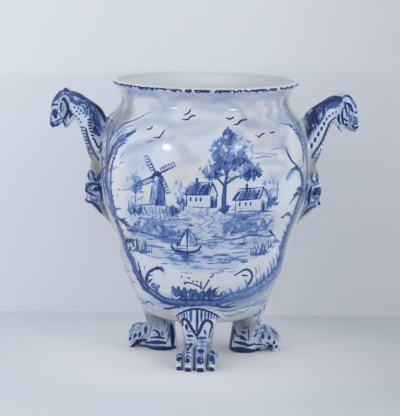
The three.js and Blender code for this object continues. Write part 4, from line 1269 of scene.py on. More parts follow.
def model_handle(set_out):
    """Griffin and mask in one skin, on the right of the vase."""
    bm = bmesh.new()
    for stations in (NECK_LIMB, MANE_LIMB, HEAD_LIMB, BEARD_LIMB, CREST_LIMB, MASK_LIMB):
        add_limb(bm, beside(stations, set_out))
    for side in (-1, 1):
        add_ball(bm, (4.6, 3.4, 10.8), (186.9 + set_out, 12.6 * side, 329.6), 0.12)
        add_ball(bm, (4.8, 3.6, 3.4), (197.6 + set_out, 9.4 * side, 330.4), 0.3)
        add_ball(bm, (10, 9, 12), (145.6 + set_out, 16 * side, 223))
    add_ball(bm, (12, 14, 6.5), (145 + set_out, 0, 206.5))
    add_ball(bm, (4, 6, 4), (153.2 + set_out, 0, 204.5))
    clay = Clay(one_skin(bm))
    push = set_out - 0.8

    def side_line(points, width, amount):
        clay.on_sides([(x + push, z) for x, z in points], width, amount)

    # Ear, brow, eye, nostril and mouth of the griffin
    side_line([(186, 322), (186, 338)], 5.5, -2.2)
    side_line([(181.5, 340), (180.5, 330), (182, 319)], 2.6, 1.2)
    side_line([(190.6, 338), (190, 326)], 2.2, 0.8)
    side_line([(205, 331), (200, 335), (194, 334.5)], 3.2, 1.4)
    side_line([(197.5, 322.9), (197.5, 323)], 8.5, 2.4)
    for points in ([(203, 323), (200, 328), (195, 328), (192, 324)], [(202, 320), (198, 317), (193, 319)]):
        side_line(points, 1.8, -0.9)
    side_line([(203, 312.4), (203, 313)], 3, -1.4)
    side_line([(202, 309), (196, 311.5), (188, 312)], 2.4, -1.6)
    side_line([(186.5, 316), (184.5, 308)], 3, -1.2)
    side_line([(178, 326), (177, 317)], 3, -1.2)
    side_line([(193, 345), (188, 350)], 2.4, -0.8)
    # Swirls of the mane, and the edge of the throat
    for points, width, depth in (
        ([(178, 346), (176, 339), (170, 335), (160, 336), (153, 334), (151, 322)], 3, -1.1),
        ([(176, 350), (166, 348), (156, 342), (146, 333), (139, 322)], 2.6, -0.9),
        ([(172, 345), (164, 343), (157, 340)], 2.2, -0.7),
        ([(149, 334), (148, 318), (143, 303)], 2.6, -0.8),
        ([(143, 326), (141, 312), (138, 300)], 2.4, -0.7),
        ([(172, 322), (165, 317), (160, 309), (156, 299), (152, 288), (146, 275), (140, 263)], 2.6, 0.8),
    ):
        side_line(points, width, depth)
    for step in range(9):
        side_line([(162 - 1.1 * step, 300 - 4 * step), (157.5 - 1.2 * step, 300.6 - 4 * step)], 1.7, -0.5)
    # Mask: eye with lids, fold of the cheek, nostril, mouth and chin
    side_line([(147, 224.4), (147, 224.6)], 12, 2.4)
    side_line([(155, 222), (152, 229), (146, 231.5), (139, 230)], 3.2, 2.2)
    side_line([(155, 221), (149, 217.6), (143, 216.4)], 2.4, 1.0)
    side_line([(141, 224.8), (141, 225)], 5, -1.6)
    side_line([(137, 227), (134, 219), (133.5, 210)], 4, -2.6)
    side_line([(131, 240), (130, 224), (128, 210)], 3.6, -1.8)
    side_line([(143, 208.6), (147, 208.6)], 3, -1.4)
    side_line([(155, 205.6), (147, 204.4), (141, 200.6), (137, 193)], 3.6, -2.6)
    side_line([(134, 205), (131, 196), (128, 189)], 2.4, -0.9)
    side_line([(151, 241), (146, 243), (141, 236), (137, 243)], 3, -1.5)
    clay.on_front([(-16, 232), (-8, 230), (0, 233), (8, 230), (16, 232)], 3, 1.3)
    clay.on_front([(-9, 204), (0, 202.6), (9, 204)], 3, -1.6)
    for side in (-1, 1):
        clay.on_front([(3.4 * side, 208), (3.6 * side, 208.2)], 2.4, -1.2)
        clay.on_front([(6 * side, 246), (10 * side, 238)], 2.4, -0.8)
    clay.settle_on_body()
    return clay


# Feet point along x while they are modelled

FOOT_TURNS = {"foot_front": -94, "foot_rear_left": 146, "foot_rear_right": 26}
COLLAR_HALF_WIDTH = 32.7
COLLAR_TIP = 65.5
COLLAR_PEAK = 80.5
ANKLE_HALF_WIDTH = 24
ANKLE_HEIGHT = 40
LEG_LIMB = [
    (64, -2, 20, 20), (64, 8, 20, 20.5), (65.5, 22, 19.5, 19.5), (67.5, 36, 19.5, 19.3), (71, 52, 19, 22),
    (73.2, 64, 16, 29), (77.4, 84, 14, 35),
]
INSTEP_LIMB = [(70, 12, 15, 20.5), (82, 15, 17, 22), (93, 12.5, 14.5, 22), (101, 8, 10, 18)]
TOE_LIMB = [(86, 20, 8.8), (98, 21.5, 8.4), (105.5, 16, 7.2), (106.8, 7, 6.4), (106.5, 1, 6)]
TOES = [(-20.4, 6, 0.76, -0.07), (-9.2, 0, 0.97, -0.03), (6.4, 0, 1.06, 0.03), (20, 6, 0.82, 0.05)]
TOE_GAPS = (-16, -1.6, 14.4)


def arch(lateral):
    return COLLAR_TIP + (COLLAR_PEAK - COLLAR_TIP) * (1 - (lateral / COLLAR_HALF_WIDTH) ** 2)


def cut_collar(bm):
    """Leg with its fan-shaped collar: the limb, cut by a block that has the collar's outline."""
    leg = make_object("leg", bm)
    block = bmesh.new()
    bmesh.ops.create_grid(block, x_segments=32, y_segments=1, size=1)
    for vert in block.verts:
        lateral = vert.co.x * COLLAR_HALF_WIDTH
        wing = max(0, abs(lateral) - ANKLE_HALF_WIDTH) / (COLLAR_HALF_WIDTH - ANKLE_HALF_WIDTH)
        low = -20 if wing == 0 else ANKLE_HEIGHT + wing * (COLLAR_TIP - ANKLE_HEIGHT - 2)
        vert.co = (0, lateral, arch(lateral) if vert.co.y > 0 else low)
    sides = bmesh.ops.extrude_face_region(block, geom=block.faces[:])["geom"]
    bmesh.ops.translate(block, vec=(150, 0, 0), verts=vertices_in(sides))
    bmesh.ops.recalc_face_normals(block, faces=block.faces)
    cutter = make_object("cutter", block)
    both = leg.modifiers.new("outline", "BOOLEAN")
    both.operation = "INTERSECT"
    both.solver = "EXACT"
    both.object = cutter
    bm = evaluated_mesh(leg)
    bpy.data.objects.remove(cutter, do_unlink=True)
    return bm


def model_foot():
    bm = bmesh.new()
    add_limb(bm, LEG_LIMB)
    bmesh.ops.recalc_face_normals(bm, faces=bm.faces)
    bm = cut_collar(bm)
    add_limb(bm, INSTEP_LIMB)
    for side, back, slim, splay in TOES:
        stations = [(x - back, z * slim, size * slim, size * slim) for x, z, size in TOE_LIMB]
        add_limb(bm, stations, side + splay * 12)
        add_ball(bm, (3.6 * slim, 3.9 * slim, 4.2 * slim), (109 - back, side * 1.04, 3.6))
    clay = Clay(one_skin(bm))
    clay.spots[:, 2] = np.maximum(clay.spots[:, 2], 0)
    lip = [(y, arch(y) - 1.2) for y in np.linspace(-32, 32, 17)]
    clay.on_front(lip, 3.4, 0.7)
    for lateral in (-27, -22, -17, -11, -5, 0, 5, 11, 17, 22, 27):
        clay.on_front([(lateral, arch(lateral) - 5), (lateral * 0.86, 60)], 2.2, -0.35)
    m_line = [(-20, 56), (-17, 64), (-11, 62), (-6, 52), (0, 45), (6, 52), (11, 63), (16, 63), (19, 56)]
    clay.on_front(m_line, 3, 0.6)
    for gap in TOE_GAPS:
        clay.on_front([(gap, 29), (gap, 14), (gap, 0)], 3.6, -2.6)
    for lateral in (-9, 6.6):
        for height in (27, 16):
            clay.on_front([(lateral - 3, height), (lateral + 3, height)], 6, 0.9)
    clay.settle_on_body()
    return clay


# Drawings on the moulded pieces: [distance outward from the axis, height]

def bars(draw, rows, half, width):
    for x, z, lean in rows:
        draw.outline([(x + half, z + lean * half), (x - half, z - lean * half)], width, (1, 1))


def paint_griffin_left(draw):
    strokes(draw.soak, (
        ([(200, 318), (196, 334), (188, 346), (172, 342), (156, 334), (146, 318), (141, 300),
         (140, 280)], 34, 0.45),
        ([(176, 346), (162, 343), (150, 334), (144, 318), (139, 300)], 20, 1),
        ([(187, 334), (186, 324)], 6, 0.9), ([(205, 330), (205, 312), (200, 306)], 8, 0.9),
        ([(184, 322), (183, 306)], 7, 0.9),
    ))
    strokes(draw.mark, (
        ([(158, 343), (149, 337), (141, 329), (134, 321)], 7, 0.6, (0.6, 1)),
        ([(144, 330), (141, 318), (137, 306)], 7, 0.44), ([(190, 352), (198, 342), (204, 333)], 3.4, 0.6),
        ([(193, 346), (200, 338)], 2.4, 0.84),
    ))
    strokes(draw.mark, (
        ([(177, 350), (166, 350), (155, 346)], 5, 0.6), ([(176, 345), (175, 340), (170, 336)], 6, 0.62),
        ([(171, 348), (162, 345), (152, 341), (144, 335)], 4, 0.7),
        ([(170, 335), (160, 337), (153, 334), (151, 321)], 3.2, 0.74),
        ([(168, 341), (160, 341), (153, 338)], 2.6, 0.4), ([(150, 335), (151, 322), (149, 308)], 3, 0.66),
        ([(146, 332), (146, 318), (144, 306)], 3, 0.56), ([(141, 326), (142, 314), (140, 302)], 3, 0.6),
        ([(137, 322), (138, 310), (136, 298)], 3, 0.4), ([(148, 320), (146, 309)], 2.6, 0.86),
        ([(146, 304), (143, 299), (139, 295)], 7, 0.8), ([(135, 286), (137, 280), (138, 272)], 4, 0.8),
        ([(154, 332), (157, 330)], 3, 0.7), ([(193, 351), (190, 347), (196, 341), (201, 336)], 3, 0.66),
        ([(189, 353), (184, 353), (180, 351)], 5.5, 0.76),
        ([(190, 345), (186, 348), (180, 347)], 2.4, 0.55), ([(205, 331), (203, 338), (197, 345)], 3, 0.5),
        ([(192, 341), (194, 337)], 2.2, 0.5), ([(204, 322), (203, 312), (205, 306)], 2.4, 0.5),
        ([(192, 324), (190, 318), (186, 315)], 2, 0.5), ([(190, 336), (191, 330)], 2, 0.4),
        ([(186, 333), (186, 326)], 3.4, 0.3), ([(184, 322), (183, 312)], 3, 0.5),
        ([(183, 308), (181, 304)], 4, 0.3),
        ([(180, 348), (170, 346), (160, 341), (150, 335), (144, 326)], 2.4, 0.74),
        ([(178, 343), (170, 339), (162, 338), (156, 332), (154, 322)], 2.2, 0.66),
        ([(174, 337), (168, 334), (161, 333), (157, 326), (155, 316)], 2, 0.52),
        ([(149, 330), (147, 318), (144, 306), (141, 296)], 2.4, 0.8),
        ([(143, 324), (140, 312), (137, 300)], 2.6, 0.7), ([(186, 350), (180, 346), (176, 341)], 2.6, 0.6),
        ([(199, 342), (194, 348), (188, 351)], 2.4, 0.7),
    ), (0.7, 0.5))
    strokes(draw.mark, (
        ([(160, 331), (156, 322), (155, 312)], 3, 0.6), ([(147, 326), (145, 316), (142, 306)], 3.4, 0.7),
        ([(152, 324), (150, 314), (148, 304)], 3, 0.56), ([(154, 300), (150, 290), (146, 282)], 2.4, 0.4),
    ), (0.6, 0.4))
    draw.bare([(176, 333), (170, 325), (166, 318)], 6)
    draw.bare([(157, 318), (155, 306), (151, 296), (146, 286), (141, 277)], 6)
    for spot in (
        (172, 331), (167, 330), (163.4, 327), (160, 323.4), (157.4, 319), (169, 325.6), (165.4, 322.6),
        (174, 321), (170, 319), (166.6, 315.6), (164, 311.4),
    ):
        draw.dot(spot, 2.5)
    draw.outline([(155, 345), (145, 338), (138, 330), (131, 321)], 9, (0.3, 1))
    draw.outline([(134, 326), (133, 318), (132, 312)], 5, (1, 0.4))
    draw.bare([(157, 316), (154.6, 304), (151, 293), (146, 284), (141, 276)], 5)
    draw.soak([(163, 304), (158, 289), (153, 274)], 6, 1)
    draw.dull([(152, 266), (146, 258), (142, 250)], 18, 0.95)
    bars(draw, (
        (152.4, 315, 0), (152, 311.2, 0), (151.6, 307.4, 0.1), (150.6, 303.4, 0.1), (149.4, 299.2, 0.3),
        (147.6, 294.6, 0.4), (146, 289.6, 0.8), (143.4, 285, 1), (140.6, 280, 1.2),
    ), 1.5, 2.5)
    for step in range(8):
        z = 304 - 4.3 * step
        draw.outline([(164 - 1.15 * step, z), (159 - 1.1 * step, z + 0.6)], 1.8, (0.8, 1))
    draw.outline(
        [(156.6, 304), (154.6, 293), (151.4, 284), (147.2, 275), (143, 268), (139, 262)], 3.6, (0.5, 0.6),
    )
    draw.outline([(153, 271), (149, 270), (146, 271)], 3)
    draw.dot((152.5, 275), 4.6)
    # Head
    strokes(draw.mark, (
        ([(200, 322), (195, 324)], 9, 0.86), ([(204, 318), (203, 311)], 3, 0.6),
        ([(200, 310), (192, 310), (188, 311)], 3, 0.5),
    ))
    strokes(draw.outline, (
        ([(186, 342), (182.6, 337), (180.6, 329), (182, 321), (186, 315)], 4.4, (1, 0.7)),
        ([(189, 337), (190, 331), (188.6, 324)], 2.6), ([(188.4, 341), (185, 343)], 3.6),
        ([(178, 326), (177, 321), (178.4, 316)], 4.4),
        ([(205, 330), (200, 334), (194, 334.5)], 3.2, (0.6, 0.6)),
        ([(202, 322), (199, 327), (194, 327)], 2.2), ([(201, 322), (198.5, 320)], 4.4, (1, 1)),
        ([(196, 312), (191, 314.5), (188, 316)], 2.2),
        ([(202, 308), (198.6, 304.8), (193, 307.8)], 5.6, (0.9, 0.4)),
        ([(187, 312), (185, 307), (185, 303)], 2.4, (1, 0.4)),
    ))
    draw.dot((197, 317.6), 4.6)


def paint_griffin_right(draw):
    draw.soak(
        [(197, 318), (194, 334), (184, 346), (170, 342), (156, 334), (146, 318), (140, 300), (139, 280)],
        34, 0.45,
    )
    draw.soak([(172, 345), (158, 341), (148, 332), (141, 316), (137, 300)], 22, 1)
    draw.mark([(176, 344), (160, 340), (148, 332), (142, 318)], 10, 0.6, (0.6, 1))
    strokes(draw.mark, (
        ([(152, 337), (162, 342), (174, 345), (180, 344)], 4, 0.74), ([(150, 336), (152, 329)], 3, 0.6),
        ([(160, 338), (169, 342), (178, 342)], 3.2, 0.6), ([(143, 332), (146, 324), (148, 314)], 5, 0.76),
        ([(138, 326), (142, 318), (146, 310)], 4, 0.66), ([(134, 320), (138, 310), (142, 304)], 4, 0.5),
        ([(156, 336), (155, 328), (155, 320)], 3, 0.66), ([(161, 334), (160, 328)], 2.6, 0.4),
        ([(139, 322), (144, 315)], 3.4, 0.84), ([(151, 322), (149, 314), (149, 308)], 2.4, 0.6),
        ([(136, 306), (138, 298)], 5, 0.5), ([(186, 352), (182, 350), (178, 347)], 2.6, 0.5),
        ([(198, 338), (194, 344), (190, 349)], 4, 0.5), ([(201, 332), (200, 338), (196, 342)], 3, 0.62),
        ([(194, 326), (192, 318)], 4, 0.3), ([(200, 322), (201, 314)], 3, 0.6),
        ([(196, 320), (195, 312)], 4, 0.4), ([(190, 324), (191, 316)], 3, 0.3),
        ([(174, 338), (166, 334)], 4, 0.4),
    ), (0.7, 0.5))
    strokes(draw.outline, (
        ([(140, 334), (150, 341), (162, 347), (178, 347.6)], 9, (0.4, 0.6)),
        ([(184, 351), (190, 350), (195, 345)], 3, (0.5, 0.6)),
        ([(143, 331), (146, 322), (150, 312)], 4, (0.5, 0.3)),
        ([(137, 326), (139, 314), (144, 305)], 3.4, (0.5, 0.3)),
        ([(155, 338), (156, 329), (155, 321)], 3, (0.5, 0.3)),
    ))
    # A band left white down the neck, where it catches the light: a painted highlight
    draw.bare([(168, 333), (158, 327), (153, 316), (147, 302), (141, 292)], 4)
    draw.dull([(134, 326), (132, 310), (133, 296)], 9, 0.6)
    for points in (
        [(134, 326), (137, 312), (140, 300)], [(140, 329), (143, 317), (146, 306)],
        [(133, 312), (135, 302), (137, 293)],
    ):
        draw.mark(points, 3, 0.84, (0.8, 0.4))
    # Ovals that grow towards the body
    growing = (
        (172, 330, 1.2), (167.6, 328.2, 1.6), (163.4, 325, 2), (159.8, 320.6, 2.8), (156.8, 314.8, 3.6),
        (153.4, 308, 4.4), (149.4, 300.8, 5), (145.2, 293.2, 5.4), (140.8, 285.4, 5.6),
    )
    draw.bare([(x, z) for x, z, size in growing], 8)
    draw.dull([(148, 268), (145, 258), (142, 250)], 14, 0.8)
    for x, z, size in growing:
        draw.outline([(x + 0.3, z + 0.34 * size), (x - 0.3, z - 0.34 * size)], 1.5 + 0.3 * size, (1, 1))
    draw.mark([(176, 339), (166, 337), (158, 331)], 3, 0.7, (0.6, 0.4))
    draw.mark([(158, 329), (154, 321), (150, 313)], 3.4, 0.62, (0.6, 0.4))
    for spot in (
        (168, 316), (165.4, 310), (163, 304), (160.8, 298), (158.6, 292), (156.2, 286), (153.6, 280),
        (150.6, 274), (147.4, 268.6),
    ):
        draw.dot(spot, 2.2)
    strokes(draw.outline, (
        ([(143, 309), (138, 304), (134, 297)], 4.4, (0.4, 0.8)),
        ([(172, 323), (165, 317), (161.6, 309), (158, 299), (154, 290), (149, 282), (144, 275),
         (142, 270)], 3.2, (0.5, 1)),
        ([(153, 280), (152, 273), (149, 267), (144, 262)], 2, (0.4, 0.6)),
    ))
    # Head
    draw.dull([(188, 311), (192, 307), (197, 305.5)], 5, 0.8)
    strokes(draw.mark, (
        ([(203, 322), (200, 316), (196, 318)], 7, 0.6), ([(188, 330), (191, 322), (192, 314)], 4, 0.56),
        ([(188, 337), (190, 329)], 2.2, 0.6), ([(176, 312), (177, 306), (180, 304)], 3, 0.5),
    ))
    strokes(draw.outline, (
        ([(181, 336), (180, 326), (182, 314)], 3, (0.5, 0.9)),
        ([(183, 344), (184.5, 335), (187, 325)], 2.8, (0.5, 0.5)),
        ([(186, 342), (190, 339), (194, 331)], 5, (0.6, 0.5)), ([(189, 341), (192, 335)], 2.4),
        ([(197, 337), (199, 336)], 2.6), ([(197, 330.5), (200, 329.5), (203, 328)], 3.2),
        ([(196, 324), (199, 321)], 3.4), ([(196, 315), (199, 313)], 2.2),
        ([(183, 322), (186, 319), (189, 318)], 2.4),
        ([(194, 312), (198, 308.5), (201, 310)], 4, (0.6, 0.8)),
        ([(176, 326), (175.5, 320), (178, 314)], 3.6),
    ))
    draw.dot((186, 313), 4.4)


def paint_mask_left(draw):
    strokes(draw.soak, (
        ([(146, 240), (150, 226), (148, 212), (140, 200)], 26, 0.8),
        ([(134, 246), (131, 226), (128, 210)], 14, 1), ([(147, 237), (151, 233)], 6, 0.8),
        ([(144, 218), (152, 212)], 6, 0.7),
    ))
    strokes(draw.mark, (
        ([(150, 220), (146, 213)], 5, 0.36), ([(148, 236), (138, 236)], 4, 0.4),
        ([(146, 227), (150, 224)], 5, 0.4),
    ))
    draw.bare([(154, 252), (140, 252), (130, 252)], 9)
    draw.dull([(146, 258), (142, 251), (138, 248)], 14, 0.9)
    strokes(draw.mark, (
        ([(150, 237), (144, 240), (137, 238)], 7, 0.42), ([(150, 227), (142, 222)], 7, 0.44),
        ([(141, 215), (131, 206)], 8, 0.42), ([(150, 212), (143, 206)], 5, 0.36),
        ([(138, 232), (133, 222)], 7, 0.5), ([(147, 243), (140, 245)], 4, 0.5),
    ), (0.8, 0.7))
    # Small strokes left white on the ridges, where they catch the light: painted highlights
    for points in (
        [(153, 234), (155.4, 228)], [(150, 242), (151, 239)], [(152, 213), (155, 210)],
        [(148, 226), (144, 227)],
    ):
        draw.bare(points, 1.6)
    draw.dull([(133, 208), (130, 198), (124, 186), (118, 178)], 16, 0.95)
    strokes(draw.mark, (
        ([(134, 246), (131, 236), (130, 224)], 4.4, 0.8), ([(137, 240), (134, 232), (133, 226)], 3, 0.56),
        ([(152, 246), (148, 247), (145, 243)], 5, 0.6), ([(152, 224), (146, 222.5)], 2.8, 0.7),
        ([(150, 216), (149, 210)], 2.4, 0.4), ([(148, 209), (144, 209)], 3.4, 0.76),
        ([(142, 211), (141, 206)], 3.6, 0.72), ([(134, 204), (130, 194), (126, 188)], 2.4, 0.5),
        ([(128, 199), (127, 193)], 2.6, 0.4),
    ))
    strokes(draw.outline, (
        ([(153, 243), (152, 237)], 4.6), ([(148, 246), (145, 242)], 5.4),
        ([(136, 246), (139, 239), (142, 235.6), (145, 239)], 5.6),
        ([(156, 222), (154, 229), (148, 231.6), (139, 231)], 4.6, (1, 0.7)),
        ([(156, 222), (150, 219), (144, 216)], 3.6, (1, 0.6)), ([(142.5, 225), (139.5, 225)], 6, (1, 1)),
        ([(138, 227), (135, 222), (133.5, 216), (134, 210)], 5.8, (0.9, 0.6)),
        ([(133, 240), (130, 228), (127.6, 216), (125, 206)], 5, (0.6, 0.9)),
        ([(155, 214), (157.4, 207)], 4, (0.7, 1)),
        ([(154, 205.4), (147, 204.5), (142, 201), (138.5, 197), (136, 191)], 4.8, (0.8, 1)),
        ([(131.5, 203), (130, 199)], 2.2),
    ))


def paint_mask_right(draw):
    draw.soak([(146, 238), (150, 226), (148, 212), (138, 198)], 26, 0.4)
    draw.soak([(136, 244), (133, 222), (128, 204)], 14, 0.7)
    draw.bare([(154, 253), (140, 253), (130, 253)], 6)
    draw.dull([(146, 258), (142, 252), (138, 249)], 12, 0.8)
    strokes(draw.mark, (
        ([(150, 236), (143, 238)], 6, 0.5), ([(149, 226), (143, 220)], 8, 0.46),
        ([(147, 212), (140, 206)], 6, 0.38), ([(151, 247), (147, 243)], 6, 0.6),
        ([(141, 228), (137, 214)], 6, 0.5), ([(151, 228), (154, 225)], 5, 0.76),
    ), (0.8, 0.7))
    # Small strokes left white on the ridges, where they catch the light: painted highlights
    for points in (
        [(145, 246), (146, 241)], [(153, 219), (149, 216)], [(147, 215), (143, 213)],
        [(153, 233), (155, 229)], [(152, 216), (154, 214)],
    ):
        draw.bare(points, 2)
    draw.dull([(140, 204), (134, 198), (128, 190), (120, 180)], 11, 0.7)
    strokes(draw.mark, (
        ([(150, 218), (144, 216)], 4, 0.5), ([(138, 208), (134, 202)], 5, 0.4),
        ([(137, 236), (134, 222), (130, 206)], 3, 0.4),
    ))
    for spot, width in (((147.5, 250), 3.2), ((149.5, 246), 3), ((149.5, 240), 4), ((151, 244), 2.6)):
        draw.dot(spot, width)
    strokes(draw.mark, (
        ([(143, 234), (149, 234)], 3, 0.5), ([(136, 236), (134, 222), (133, 208)], 4, 0.6),
        ([(146, 212), (145.5, 209)], 3.6, 0.6), ([(142, 213), (141.5, 210)], 2.4, 0.7),
        ([(149, 205), (144, 203.5), (140, 201.5)], 3, 0.7),
    ))
    strokes(draw.outline, (
        ([(143.5, 252), (141.5, 246), (142, 240), (146, 237)], 2.8),
        ([(147, 226.6), (145.6, 223.4)], 6, (1, 1)),
        ([(146, 230), (152, 229.4), (155.6, 225), (150, 222)], 3.6, (0.7, 0.7)),
        ([(155, 221), (151, 218), (147, 214)], 3),
        ([(141, 233), (139, 225), (138.5, 215), (138, 209)], 3.8, (0.5, 0.9)),
        ([(152.6, 213), (153.4, 206.6)], 5, (0.9, 0.9)),
        ([(148, 204), (142, 202.6), (138, 200), (135, 196), (131.5, 192)], 3.6, (0.5, 0.6)),
    ))
    draw.dot((132, 199), 2)


# Feet. The front drawing is [across, height] round the middle of the foot, the side drawing as above.
# The flanks' dark strokes are drawn broader than their tables say, and taper at both ends

FLANK_BOLDNESS = 1.1
TAPERED = (0.56, 0.4)


def paint_foot_front(draw):
    strokes(draw.soak, (
        ([(0, 74), (0, 40), (0, 4)], 50, 0.35), ([(-24, 50), (-22, 30), (-24, 10)], 10, 0.7),
        ([(24, 50), (20, 30), (24, 10)], 10, 0.7),
    ))
    edge = [(y, arch(y) - 1.3) for y in np.linspace(-31.8, 31.8, 13)]
    for across, low, width, tone in (
        (-24.4, 67, 1.8, 0.5), (-21, 65, 2, 0.6), (-17.4, 64, 2.6, 0.8), (-13.8, 65, 2, 0.6),
        (-8.6, 62, 4.4, 0.66), (0, 48, 3.8, 0.86), (5.6, 63, 3.4, 0.74), (10.4, 66, 2.6, 0.8),
        (14.8, 66, 2.8, 0.8), (18.4, 66, 2.2, 0.84), (22, 65, 1.8, 0.6), (25.4, 65, 2, 0.66),
    ):
        draw.mark([(across, arch(across) - 3.6), (across * 0.96, low)], width, tone, (0.8, 0.6))
    left_half = [(-19.4, 56), (-19.6, 62.6), (-16, 64.6), (-12, 61), (-7, 53), (-3.4, 48), (0, 44.4)]
    right_half = [
        (0, 44.4), (3.4, 50), (6.6, 58), (10, 62.8), (14, 63.6), (18, 60.6), (19.4, 56.4), (17.4, 49),
        (15.4, 40),
    ]
    strokes(draw.outline, (
        (edge, 2.9, (0.9, 0.9)), (left_half, 4.2, (0.7, 1)), (right_half, 4.2, (1, 0.5)),
        ([(0, 44), (0.4, 37)], 2, (0.8, 0.4)),
    ))
    draw.bare([(-0.8, 47.4), (-0.5, 47.6)], 1.8)
    strokes(draw.mark, (
        ([(-14, 49), (-8, 48)], 3, 0.4), ([(-12.6, 42), (-6, 42.6)], 4, 0.88),
        ([(-14, 36), (-7, 36)], 3, 0.34), ([(3, 40), (11, 40)], 4.6, 0.66),
        ([(4, 35), (12, 34.6)], 3.4, 0.44), ([(7, 31), (8, 22)], 6, 0.34),
        ([(-15, 27), (-11, 29), (-7, 31)], 4.8, 0.9), ([(-14, 22), (-9, 22)], 2, 0.5),
        ([(21, 46), (22, 42)], 3.2, 0.6), ([(20, 25), (24, 23)], 5, 0.88),
        ([(21, 17), (24, 12)], 5.6, 0.74), ([(-24, 26), (-21, 24)], 3, 0.7),
        ([(-24.6, 14.6), (-20.6, 14)], 4.8, 0.86), ([(-24, 8), (-20, 8)], 2, 0.4),
        ([(-14, 9), (-8, 9)], 2.4, 0.4), ([(3, 8.4), (10, 8.4)], 2.4, 0.4),
        ([(3, 20.6), (10, 21)], 1.8, 0.5), ([(17, 9), (23, 9.4)], 3, 0.9),
        ([(-20, 44), (-19, 34), (-20, 26)], 3, 0.5), ([(19, 38), (18, 30)], 3, 0.36),
    ), (0.8, 0.7))
    strokes(draw.outline, (
        ([(9.4, 51), (10.4, 48), (11.4, 44.6)], 2.6), ([(-14.4, 56), (-13.6, 52)], 4.2, (0.9, 0.9)),
        ([(19.4, 36.6), (21, 33.6)], 3.6, (1, 0.7)), ([(3.6, 27.4), (10.6, 27)], 4, (0.8, 0.7)),
        ([(-13.6, 15.4), (-9.8, 15.2)], 7, (0.9, 0.9)), ([(4, 15.2), (10.4, 15)], 7.4, (0.8, 0.8)),
    ))
    draw.dot((-25.4, 72.4), 2.6)
    draw.bare([(7.8, 15.6), (8.2, 15.8)], 1.8)
    for across in TOE_GAPS:
        draw.dull([(across, 30), (across, 16), (across, 2)], 5, 0.9)
        draw.outline([(across, 26), (across, 14), (across, 2)], 2.8, (0.4, 1))
    for across, half in ((-21.4, 3.6), (-9.8, 4.4), (6.6, 4.6), (20.4, 3.8)):
        draw.soak([(across - half, 26), (across - half, 8)], 4, 0.9)
        draw.soak([(across + half, 26), (across + half, 8)], 4, 0.9)
        for z in (9.6, 19.6):
            nail = [(across - half, z - 1.6), (across, z + 0.8), (across + half, z - 1.6)]
            draw.outline(nail, 1.5, (0.7, 0.7))
        draw.mark([(across - 0.6 * half, 24.4), (across + 0.6 * half, 24.8)], 2.6, 0.6, (0.8, 0.8))
    draw.outline([(-22.4, 15), (-20.4, 15)], 5, (1, 1))
    draw.outline([(19.6, 15.6), (21.4, 15.6)], 5, (1, 1))
    for across, width in ((-21.4, 6.6), (-9.8, 8), (6.6, 8.4), (20, 7.6)):
        draw.bare([(across - 0.1, 4.4), (across + 0.1, 4.4)], 12)
        draw.outline([(across - 1, 2), (across + 1, 2)], width, (1, 1))
    draw.rust([(-32.4, 75), (-30.4, 70), (-27.6, 65), (-24, 60)], 8, 1.0)
    draw.rust([(31, 70), (29, 65), (26, 61)], 4, 0.9)
    draw.outline([(-31.4, 70.6), (-28.6, 66), (-26.8, 62.4)], 2.4, (0.6, 0.8))


def paint_foot_left(draw):
    draw.soak([(52, 36), (64, 20), (80, 12), (96, 16)], 34, 0.5)
    draw.soak([(84, 30), (94, 22)], 14, 0.7)
    draw.dull([(42, 60), (54, 48), (66, 42)], 22, 0.95)
    draw.dull([(76, 40), (86, 37), (95, 30), (100, 20)], 8, 0.85)
    draw.rust([(46, 47), (54, 44), (62, 46)], 6, 0.42)
    for points, width in (
        ([(41, 33), (39.6, 20), (39, 3)], 6.6), ([(36, 3), (60, 2.2), (84, 1.6)], 6.6),
        ([(49, 10.6), (60, 11), (76, 8)], 5.4), ([(51, 17), (60, 18), (69, 16)], 3.4),
        ([(56, 19), (60, 25.6), (66, 27)], 3.6), ([(76, 28), (76, 22)], 5),
        ([(76, 12.4), (83, 11), (88, 5), (96, 0)], 6.4), ([(83, 22), (85, 16)], 4.4),
        ([(89, 20), (92, 14)], 4.4), ([(96, 14), (98, 9)], 3), ([(73.6, 33), (73.6, 31)], 3),
        ([(92.6, 29), (94, 26)], 2.8),
    ):
        draw.outline(points, FLANK_BOLDNESS * width, TAPERED)
    strokes(draw.mark, (
        ([(53, 26), (53, 20)], 4, 0.6), ([(69, 37), (69, 28), (71, 20), (74, 15)], 2, 0.6),
        ([(62, 37), (58, 29)], 2.6, 0.5), ([(42, 36), (46, 30), (48, 24)], 4, 0.5),
        ([(78, 35), (86, 31), (93, 30)], 2.6, 0.5), ([(98, 22), (98, 17)], 3, 0.5),
        ([(47, 38), (43, 30), (44, 18)], 5, 0.5), ([(50, 6.4), (66, 6), (78, 5)], 2, 0.4),
        ([(74, 42), (74, 38)], 2.4, 0.7), ([(82, 27), (90, 25)], 3, 0.34),
        ([(62, 22), (66, 21)], 2.4, 0.36), ([(74, 47), (74, 44)], 2.6, 0.8),
        ([(80, 33), (84, 28)], 3.2, 0.6), ([(88, 34), (92, 28)], 3, 0.66), ([(79, 19), (83, 13)], 3, 0.5),
        ([(58, 42), (60, 31)], 3, 0.42), ([(51, 42), (49, 32)], 3.4, 0.5),
        ([(66, 46), (64, 36)], 2.4, 0.42), ([(94, 20), (97, 14)], 2.6, 0.5),
        ([(44, 26), (46, 12)], 3, 0.66),
    ))


